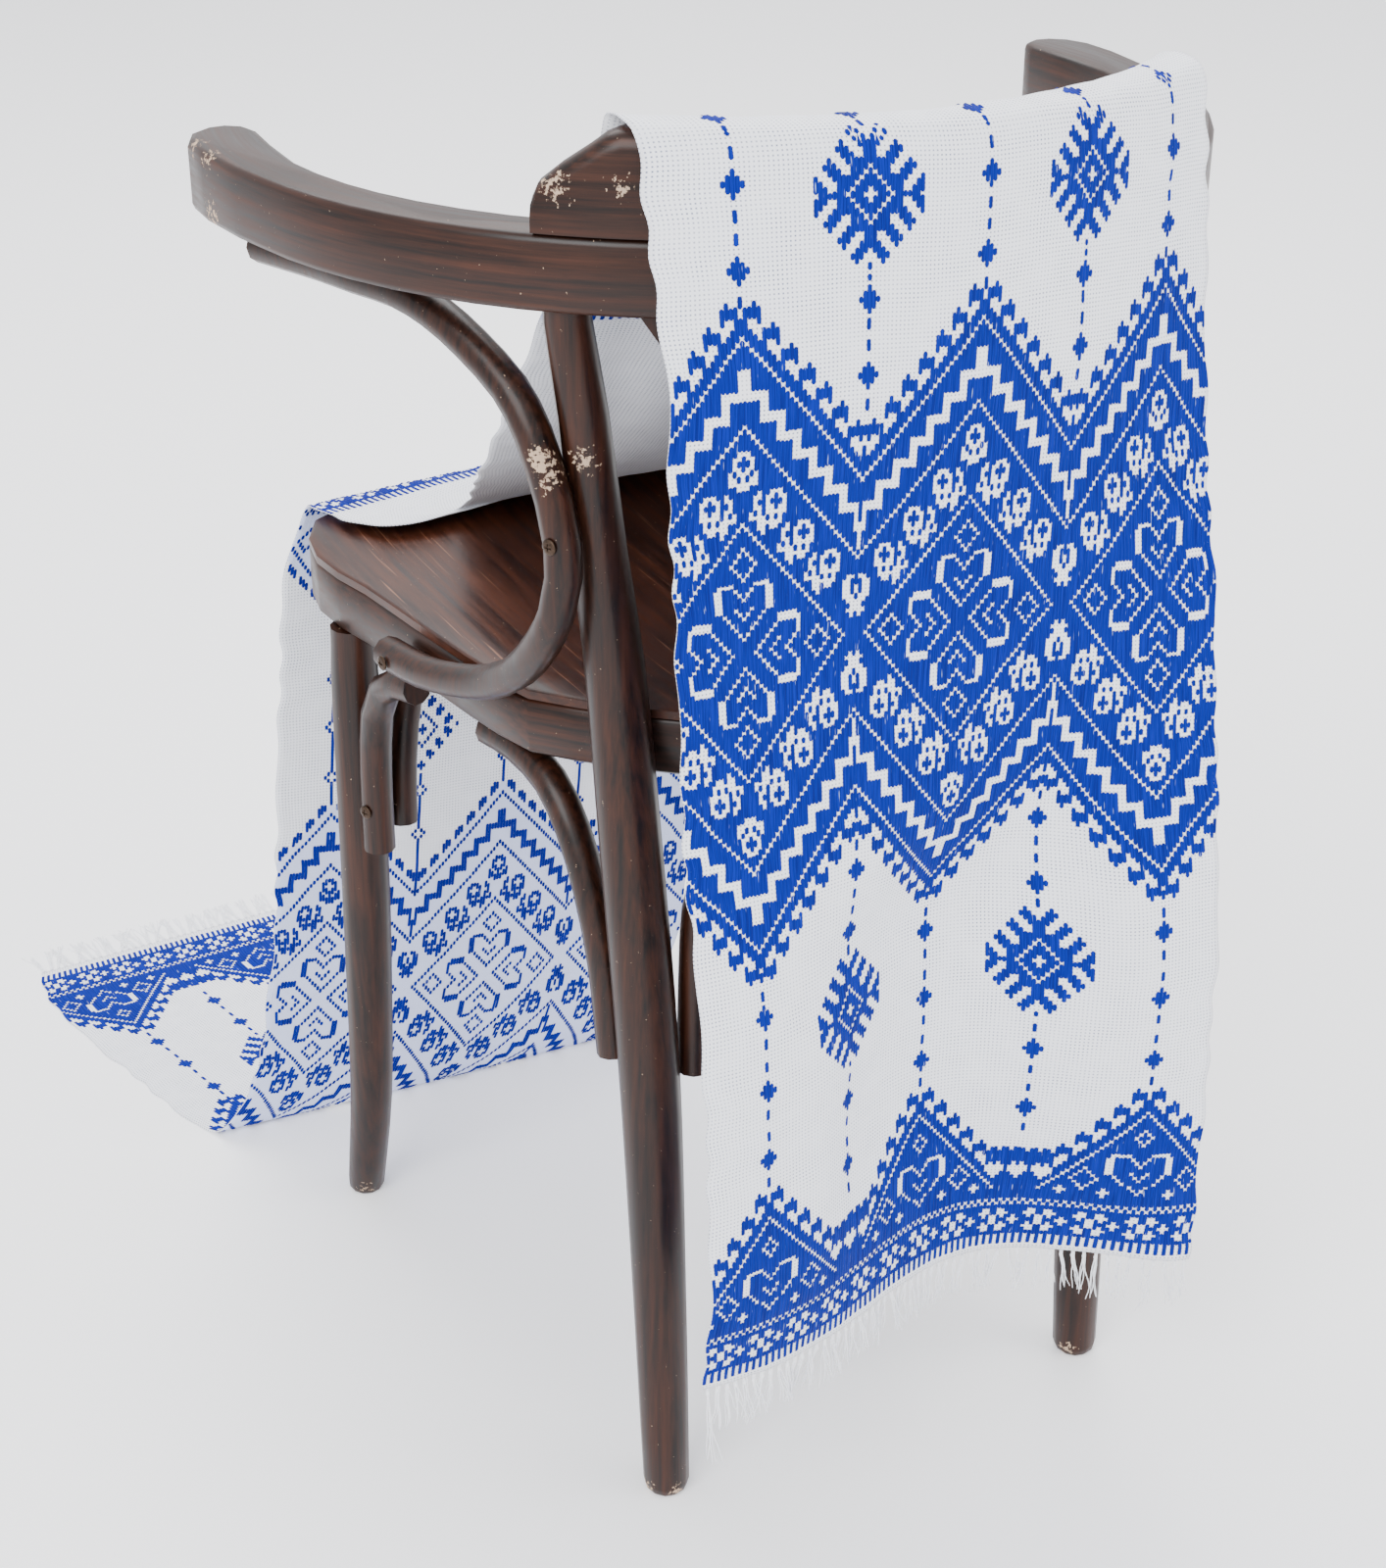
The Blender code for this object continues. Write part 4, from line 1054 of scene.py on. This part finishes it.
def tubes(paths, radii):
    """Points and faces of closed round tubes, each with its own radius at every point."""
    angles = np.arange(TUBE_SIDES) * 2 * math.pi / TUBE_SIDES
    ring = np.stack([np.cos(angles), np.sin(angles)], axis=1)
    points = []
    faces = []
    for path, radius in zip(paths, radii):
        path = np.asarray(path)
        way = np.gradient(path, axis=0)
        way /= np.linalg.norm(way, axis=1, keepdims=True)
        side = np.cross(way, (0.31, 0.94, 0.12))
        side /= np.linalg.norm(side, axis=1, keepdims=True)
        other = np.cross(way, side)
        base = sum(len(p) for p in points)
        for at, s, o, r in zip(path, side, other, radius):
            points.append(at + r * (ring[:, :1] * s + ring[:, 1:] * o))
        count = len(path)
        for step in range(count - 1):
            for k in range(TUBE_SIDES):
                a = base + step * TUBE_SIDES + k
                b = base + step * TUBE_SIDES + (k + 1) % TUBE_SIDES
                faces.append((a, b, b + TUBE_SIDES, a + TUBE_SIDES))
        faces.append(tuple(range(base + TUBE_SIDES - 1, base - 1, -1)))
        top = base + (count - 1) * TUBE_SIDES
        faces.append(tuple(range(top, top + TUBE_SIDES)))
    return np.concatenate(points), faces


# %% Knotted bundles
BUNDLES = 56
STRANDS = 5
FRINGE_LENGTH = 0.031
TUFT_LENGTH = 0.055
STRAND_RADIUS = 0.00042
KNOT_AT = 0.0035
KNOT_HALF = 0.0017
KNOT_RADIUS = 0.0012
KNOT_FLATTENED = 0.55
LEAN = 0.16
STRAND_STEPS = 8


def fringe(name, length, outward, sideways, lift, flat, seed, tuft):
    """Bundles of strands along one hem, tied just beyond it."""
    generator = np.random.default_rng(seed)
    outward, sideways, lift = (np.array(v, float) for v in (outward, sideways, lift))
    paths = []
    radii = []
    for bundle in range(BUNDLES):
        at_column = COLUMNS * (bundle + 0.5) / BUNDLES
        start = on_cloth(np.array([at_column]), np.array([length]), np.zeros(1))[0]
        lean = generator.normal(0.0, LEAN)
        reach = TUFT_LENGTH if bundle == tuft else FRINGE_LENGTH * generator.uniform(0.85, 1.06)
        knot = start + outward * KNOT_AT
        steps = np.linspace(-1.0, 1.0, 7)
        paths.append(knot + np.outer(steps * KNOT_HALF, outward))
        round_off = np.sqrt(np.maximum(1 - steps ** 2, 0.06))
        radii.append(KNOT_RADIUS * round_off * (KNOT_FLATTENED if flat else 1.0))
        for strand in range(STRANDS):
            spread = (strand - (STRANDS - 1) / 2) / STRANDS
            bend = generator.uniform(-0.14, 0.14)
            depth = generator.uniform(-1.0, 1.0) * STRAND_RADIUS
            phase = generator.uniform(0.0, 2 * math.pi)
            share = np.linspace(0.0, 1.0, STRAND_STEPS)
            own = reach * generator.uniform(0.82, 1.05)
            aside = spread * 0.0016 + (spread * 0.0035 + lean * own) * share ** 1.2
            aside += bend * own * share ** 2 + 0.0004 * np.sin(phase + share * 9)
            path = start + np.outer(share * own, outward) + np.outer(aside, sideways)
            sway = 0.0 if flat else 0.0012
            path += np.outer(depth + sway * np.sin(phase + share * 4) * share, lift)
            if flat:
                path[:, 2] = STRAND_RADIUS + 0.0001 + 0.0006 * (1 - share) ** 2 + abs(depth)
            paths.append(path)
            radii.append(STRAND_RADIUS * (1 - 0.45 * share))
    points, faces = tubes(paths, radii)
    return mesh_object(name, points, faces, [fringe_white])


hem_forward = fabric[-1, COLUMNS // 2] - fabric[-12, COLUMNS // 2]
hem_forward[2] = 0.0
hem_forward /= np.linalg.norm(hem_forward)
hem_across = fabric[-1, -1] - fabric[-1, 0]
hem_across /= np.linalg.norm(hem_across)
fringe_pieces = [
    fringe("fringe_back_strands", 0.0, (0, 0, -1), (1, 0, 0), (0, 1, 0), False, 21, 0),
    fringe("fringe_floor_strands", LENGTH, hem_forward, hem_across, (0, 0, 1), True, 22, -1),
]

# %% [markdown]
# ## Stained beech
# The chair is bent beech, stained to a dark walnut and varnished. The stain sinks into the open
# grain and leaves it darker; years of use have rubbed the varnish to a satin and knocked it off
# at corners. Grain is noise drawn out along the fibres: they run up the legs, round the rail and
# from front to back on the seat, so each direction is its own material with the same making.
# Pores of beech are about 0.3 mm across. They are too fine to show here, so the grain is drawn
# about 4 mm wide across the fibres.

# %% Places where the varnish is worn through
WORN = (
    # x, y, z, radius
    (-0.2471, -0.0700, 0.7240, 0.013),
    (-0.2464, -0.0944, 0.7225, 0.012),
    (-0.2472, -0.0949, 0.6920, 0.014),
    (-0.1494, -0.3059, 0.7461, 0.013),
    (-0.1252, -0.3252, 0.7470, 0.010),
    (-0.1537, -0.3027, 0.6098, 0.013),
    (-0.1578, -0.2987, 0.6179, 0.010),
    (-0.1365, -0.3050, 0.6141, 0.012),
    (-0.1244, -0.3418, 0.0040, 0.011),
    (-0.1115, -0.3537, 0.0040, 0.010),
    (-0.1744, -0.0098, 0.0060, 0.010),
    (0.1566, -0.3485, 0.0050, 0.010),
)


def worn_places(tree, place):
    """A mask of scuffs: noise that shows only near the worn places."""
    chips = add(tree, "ShaderNodeTexNoise", Vector=place, Scale=380.0, Detail=4.0, Roughness=0.65)
    total = 0.0
    for x, y, z, radius in WORN:
        far = add(tree, "ShaderNodeVectorMath", {"operation": "DISTANCE"}, _0=place, _1=(x, y, z))
        near = add(tree, "ShaderNodeMapRange", Value=far.outputs["Value"],
                   From_Min=0.0, From_Max=radius, To_Min=0.26, To_Max=0.0)
        total = maths(tree, "ADD", near.outputs[0], total)
    rough = maths(tree, "ADD", chips.outputs[0], total)
    return add(tree, "ShaderNodeMapRange", Value=rough, From_Min=0.70, From_Max=0.74,
               To_Min=0.0, To_Max=1.0).outputs[0]


def along_rail(tree, place):
    """Coordinates that run round the bent rail, in from its rim and up."""
    parts = add(tree, "ShaderNodeSeparateXYZ", Vector=place)
    x = maths(tree, "SUBTRACT", parts.outputs[0], float(SHIFT[0]))
    y = maths(tree, "SUBTRACT", parts.outputs[1], 0.065 + float(SHIFT[1]))
    angle = maths(tree, "ARCTAN2", x, maths(tree, "MULTIPLY", y, -1.0))
    squares = maths(tree, "ADD", maths(tree, "MULTIPLY", x, x), maths(tree, "MULTIPLY", y, y))
    radius = maths(tree, "SQRT", squares)
    return add(tree, "ShaderNodeCombineXYZ", X=radius, Y=parts.outputs[2],
               Z=maths(tree, "MULTIPLY", angle, 0.255)).outputs[0]


def stained_beech(name, dark, light, fibre, round_rail=False, scratches=False):
    """Varnished, stained beech with its grain drawn out along one direction."""
    material, tree, shader = new_material(name)
    place = add(tree, "ShaderNodeTexCoord").outputs["Object"]
    grain_place = along_rail(tree, place) if round_rail else place
    drawn = add(tree, "ShaderNodeMapping", Vector=grain_place, Scale=fibre)
    grain = add(tree, "ShaderNodeTexNoise", Vector=drawn.outputs[0], Scale=1.0, Detail=5.0,
                Roughness=0.62)
    figure = add(tree, "ShaderNodeMapRange", Value=grain.outputs[0],
                 From_Min=0.34, From_Max=0.68, To_Min=0.0, To_Max=1.0)
    wood = add(tree, "ShaderNodeMix", {"data_type": "RGBA"}, _0=figure.outputs[0],
               _6=linear(dark), _7=linear(light)).outputs[2]
    blotch = add(tree, "ShaderNodeTexNoise", Vector=place, Scale=14.0, Detail=2.0)
    deeper = add(tree, "ShaderNodeMapRange", Value=blotch.outputs[0],
                 From_Min=0.4, From_Max=0.7, To_Min=0.0, To_Max=0.45)
    wood = add(tree, "ShaderNodeMix", {"data_type": "RGBA"}, _0=deeper.outputs[0],
               _6=wood, _7=linear(dark)).outputs[2]
    if scratches:
        thin = add(tree, "ShaderNodeMapping", Vector=place, Scale=(420.0, 9.0, 9.0),
                   Rotation=(0.0, 0.0, 0.10))
        marks = add(tree, "ShaderNodeTexNoise", Vector=thin.outputs[0], Scale=1.0, Detail=2.0)
        few = add(tree, "ShaderNodeMapRange", Value=marks.outputs[0],
                  From_Min=0.66, From_Max=0.74, To_Min=0.0, To_Max=0.55)
        wood = add(tree, "ShaderNodeMix", {"data_type": "RGBA"}, _0=few.outputs[0],
                   _6=wood, _7=linear("9A6A50")).outputs[2]
    worn = worn_places(tree, place)
    wood = add(tree, "ShaderNodeMix", {"data_type": "RGBA"}, _0=worn,
               _6=wood, _7=linear("B49A82")).outputs[2]
    smooth = add(tree, "ShaderNodeMapRange", Value=grain.outputs[0],
                 From_Min=0.3, From_Max=0.7, To_Min=0.30, To_Max=0.44)
    rough = maths(tree, "ADD", smooth.outputs[0], maths(tree, "MULTIPLY", worn, 0.35))
    height = maths(tree, "SUBTRACT", grain.outputs[0], maths(tree, "MULTIPLY", worn, 0.8))
    bump = add(tree, "ShaderNodeBump", Height=height, Strength=0.25, Distance=0.3 * MM)
    tree.links.new(wood, shader.inputs["Base Color"])
    tree.links.new(rough, shader.inputs["Roughness"])
    tree.links.new(bump.outputs[0], shader.inputs["Normal"])
    shader.inputs["Coat Weight"].default_value = 0.06
    shader.inputs["Coat Roughness"].default_value = 0.22
    shader.inputs["IOR"].default_value = 1.5
    shader.inputs["Specular IOR Level"].default_value = 0.24
    return material


beech_upright = stained_beech("walnut_stained_beech_upright", "100604", "3A1D10", (260, 260, 9))
beech_rail = stained_beech(
    "walnut_stained_beech_bent_rail", "120704", "3C1E11", (260, 260, 9), round_rail=True
)
beech_seat = stained_beech(
    "walnut_stained_beech_plywood_seat", "220D07", "4E2817", (170, 8, 170), scratches=True
)
beech_board = stained_beech("walnut_stained_beech_back_board", "130704", "3C1E11", (200, 200, 7))
print("four cuts of stained beech")

# %% [markdown]
# ## Wooden pieces
# The solids of the chair have the right shape already. They come in with every facet parted from
# the next, so a round rod would show its facets. A copy with the points welded and the soft edges
# shaded smooth stands for each of them.

# %% Welded wooden pieces
WELD = 0.00002
SHARP = math.radians(48)


def welded(node, material):
    """A smooth-shaded copy of a solid that replaces it."""
    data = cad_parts[node].data.copy()
    data.name = node + "_wood"
    made = bpy.data.objects.new(node + "_wood", data)
    bpy.context.scene.collection.objects.link(made)
    weld = made.modifiers.new("weld", "WELD")
    weld.merge_threshold = WELD
    graph = bpy.context.evaluated_depsgraph_get()
    made.data = bpy.data.meshes.new_from_object(made.evaluated_get(graph))
    made.modifiers.clear()
    made.data.materials.clear()
    made.data.materials.append(material)
    if made.data.has_custom_normals:
        with bpy.context.temp_override(object=made, active_object=made, selected_objects=[made]):
            bpy.ops.mesh.customdata_custom_splitnormals_clear()
    made.data.shade_smooth()
    made.data.set_sharp_from_angle(angle=SHARP)
    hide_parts(node)
    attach(made, "root")
    return made


WOODEN = (
    # start of the node names, material, slot
    ("rear_leg", beech_upright, "stained_wood"),
    ("front_leg", beech_upright, "stained_wood"),
    ("arm_support", beech_upright, "stained_wood"),
    ("side_arch", beech_upright, "stained_wood"),
    ("back_arch", beech_upright, "stained_wood"),
    ("side_knee", beech_upright, "stained_wood"),
    ("front_knee", beech_upright, "stained_wood"),
    ("arm_rail", beech_rail, "stained_wood"),
    ("crest_block", beech_rail, "stained_wood"),
    ("back_splat", beech_board, "stained_wood"),
    ("seat_ring", beech_rail, "stained_wood"),
    ("seat_panel", beech_seat, "seat_wood"),
)
wooden_pieces = {}
for node in sorted(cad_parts):
    for start, material, slot in WOODEN:
        if node.startswith(start):
            wooden_pieces[node] = welded(node, material)
print(len(wooden_pieces), "wooden pieces")

# %% [markdown]
# ## Screws
# Low domed steel heads, blackened by age, with a cross recess. Each is a disc of rings whose
# points sink where the recess is, set on the place and the facing of its solid.

# %% Blackened steel
def blackened_steel():
    material, tree, shader = new_material("blackened_steel_domed_screw")
    place = add(tree, "ShaderNodeTexCoord")
    spots = add(tree, "ShaderNodeTexNoise", Vector=place.outputs["Object"], Scale=800.0, Detail=3.0)
    colour = add(tree, "ShaderNodeMix", {"data_type": "RGBA"}, _0=spots.outputs[0],
                 _6=linear("15110F"), _7=linear("5B4A3E"))
    rough = add(tree, "ShaderNodeMapRange", Value=spots.outputs[0],
                From_Min=0.3, From_Max=0.7, To_Min=0.32, To_Max=0.6)
    tree.links.new(colour.outputs[2], shader.inputs["Base Color"])
    tree.links.new(rough.outputs[0], shader.inputs["Roughness"])
    shader.inputs["Metallic"].default_value = 1.0
    return material


dark_steel = blackened_steel()

# %% Screw heads with a cross recess
HEAD_RADIUS = 0.0042
HEAD_HEIGHT = 0.0016
RECESS_ARM = 0.0023
RECESS_HALF = 0.00055
RECESS_DEPTH = 0.0009
HEAD_RINGS = 22
HEAD_SIDES = 64


def head_height(x, y):
    """Height of a domed head above its seat, less the cross recess."""
    away = np.minimum(np.hypot(x, y) / HEAD_RADIUS, 1.0)
    dome = HEAD_HEIGHT * np.sqrt(1 - (away * 0.93) ** 2)
    near, far = np.minimum(abs(x), abs(y)), np.maximum(abs(x), abs(y))
    inside = np.clip((RECESS_HALF - near) / 0.0002, 0, 1) * np.clip((RECESS_ARM - far) / 0.0003, 0, 1)
    return dome - RECESS_DEPTH * inside


def screw_head(node):
    """A head on the place and the facing of its plain solid."""
    low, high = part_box(node)
    centre = (low + high) / 2
    outward = Vector((centre.x - float(SHIFT[0]), 0.0, 0.0)).normalized()
    normals = [p.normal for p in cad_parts[node].data.polygons]
    areas = [p.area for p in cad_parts[node].data.polygons]
    biggest = max(range(len(areas)), key=lambda i: (round(areas[i], 9), -i))
    facing_way = normals[biggest].copy()
    if facing_way.dot(outward) < 0:
        facing_way.negate()
    seat = centre - facing_way * (HEAD_HEIGHT / 2)
    turn = facing_way.to_track_quat("Z", "Y").to_matrix().to_4x4()
    angles = np.arange(HEAD_SIDES) * 2 * math.pi / HEAD_SIDES
    points = [(0.0, 0.0, float(head_height(np.zeros(1), np.zeros(1))[0]))]
    for ring in range(1, HEAD_RINGS + 1):
        radius = HEAD_RADIUS * ring / HEAD_RINGS
        x, y = radius * np.cos(angles), radius * np.sin(angles)
        points += list(zip(x, y, head_height(x, y)))
    points += [(HEAD_RADIUS * math.cos(a), HEAD_RADIUS * math.sin(a), 0.0) for a in angles]
    faces = [(0, 1 + k, 1 + (k + 1) % HEAD_SIDES) for k in range(HEAD_SIDES)]
    for ring in range(HEAD_RINGS):
        for k in range(HEAD_SIDES):
            a = 1 + ring * HEAD_SIDES + k
            b = 1 + ring * HEAD_SIDES + (k + 1) % HEAD_SIDES
            faces.append((a, a + HEAD_SIDES, b + HEAD_SIDES, b))
    base = 1 + HEAD_RINGS * HEAD_SIDES
    faces.append(tuple(range(base + HEAD_SIDES - 1, base - 1, -1)))
    made = mesh_object(node + "_head", points, faces, [dark_steel])
    made.data.transform(Matrix.Translation(seat) @ turn)
    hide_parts(node)
    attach(made, "root")
    return made


screws = [screw_head(node) for node in sorted(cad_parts) if node.startswith("screw_")]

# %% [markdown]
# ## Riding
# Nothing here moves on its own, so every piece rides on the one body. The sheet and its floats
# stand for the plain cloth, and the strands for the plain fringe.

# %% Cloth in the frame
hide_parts("towel_cloth")
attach(towel_sheet, "root")
for piece in floats:
    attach(piece, "root")
for piece, node in zip(fringe_pieces, ("fringe_back", "fringe_floor")):
    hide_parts(node)
    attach(piece, "root")

# %% [markdown]
# ## Floor and light
# A pale studio floor that runs out of sight, a bright even sky and three large soft lamps: one
# from the left behind the camera, a weaker one from the right and one from above and beyond. The
# floor has a faint glow of its own, as a backdrop lit from behind, which keeps the shadows pale.

# %% Stage
FLOOR_HALF = 9.0
floor_material, floor_tree, floor_shader = new_material("white_painted_studio_floor")
floor_shader.inputs["Base Color"].default_value = linear("F4F4F6")
floor_shader.inputs["Roughness"].default_value = 0.55
floor_shader.inputs["Emission Color"].default_value = linear("FFFFFF")
floor_shader.inputs["Emission Strength"].default_value = 0.3
corner = FLOOR_HALF
floor = mesh_object(
    "studio_floor",
    [(-corner, -corner, 0.0), (corner, -corner, 0.0), (corner, corner, 0.0), (-corner, corner, 0.0)],
    [(0, 1, 2, 3)], [floor_material], smooth=False,
)

# %% Lights
LAMPS = (
    # name, place, power in watts, size in metres
    ("key_lamp", (-2.6, -2.0, 2.9), 150.0, 2.2),
    ("fill_lamp", (2.6, -2.2, 2.0), 65.0, 2.4),
    ("top_lamp", (0.4, 1.6, 3.4), 130.0, 2.6),
)
TARGET = Vector((0.0, 0.0, 0.4))
for name, place, power, size in LAMPS:
    lamp = bpy.data.lights.new(name, "AREA")
    lamp.energy = power
    lamp.size = size
    thing = bpy.data.objects.new(name, lamp)
    thing.location = place
    thing.rotation_mode = "QUATERNION"
    thing.rotation_quaternion = (TARGET - Vector(place)).to_track_quat("-Z", "Y")
    bpy.context.scene.collection.objects.link(thing)
sky = bpy.data.worlds.new("white_studio")
sky.use_nodes = True
sky.node_tree.nodes["Background"].inputs["Color"].default_value = linear("FBFCFF")
sky.node_tree.nodes["Background"].inputs["Strength"].default_value = 1.5
bpy.context.scene.world = sky
print(len(LAMPS), "lamps")
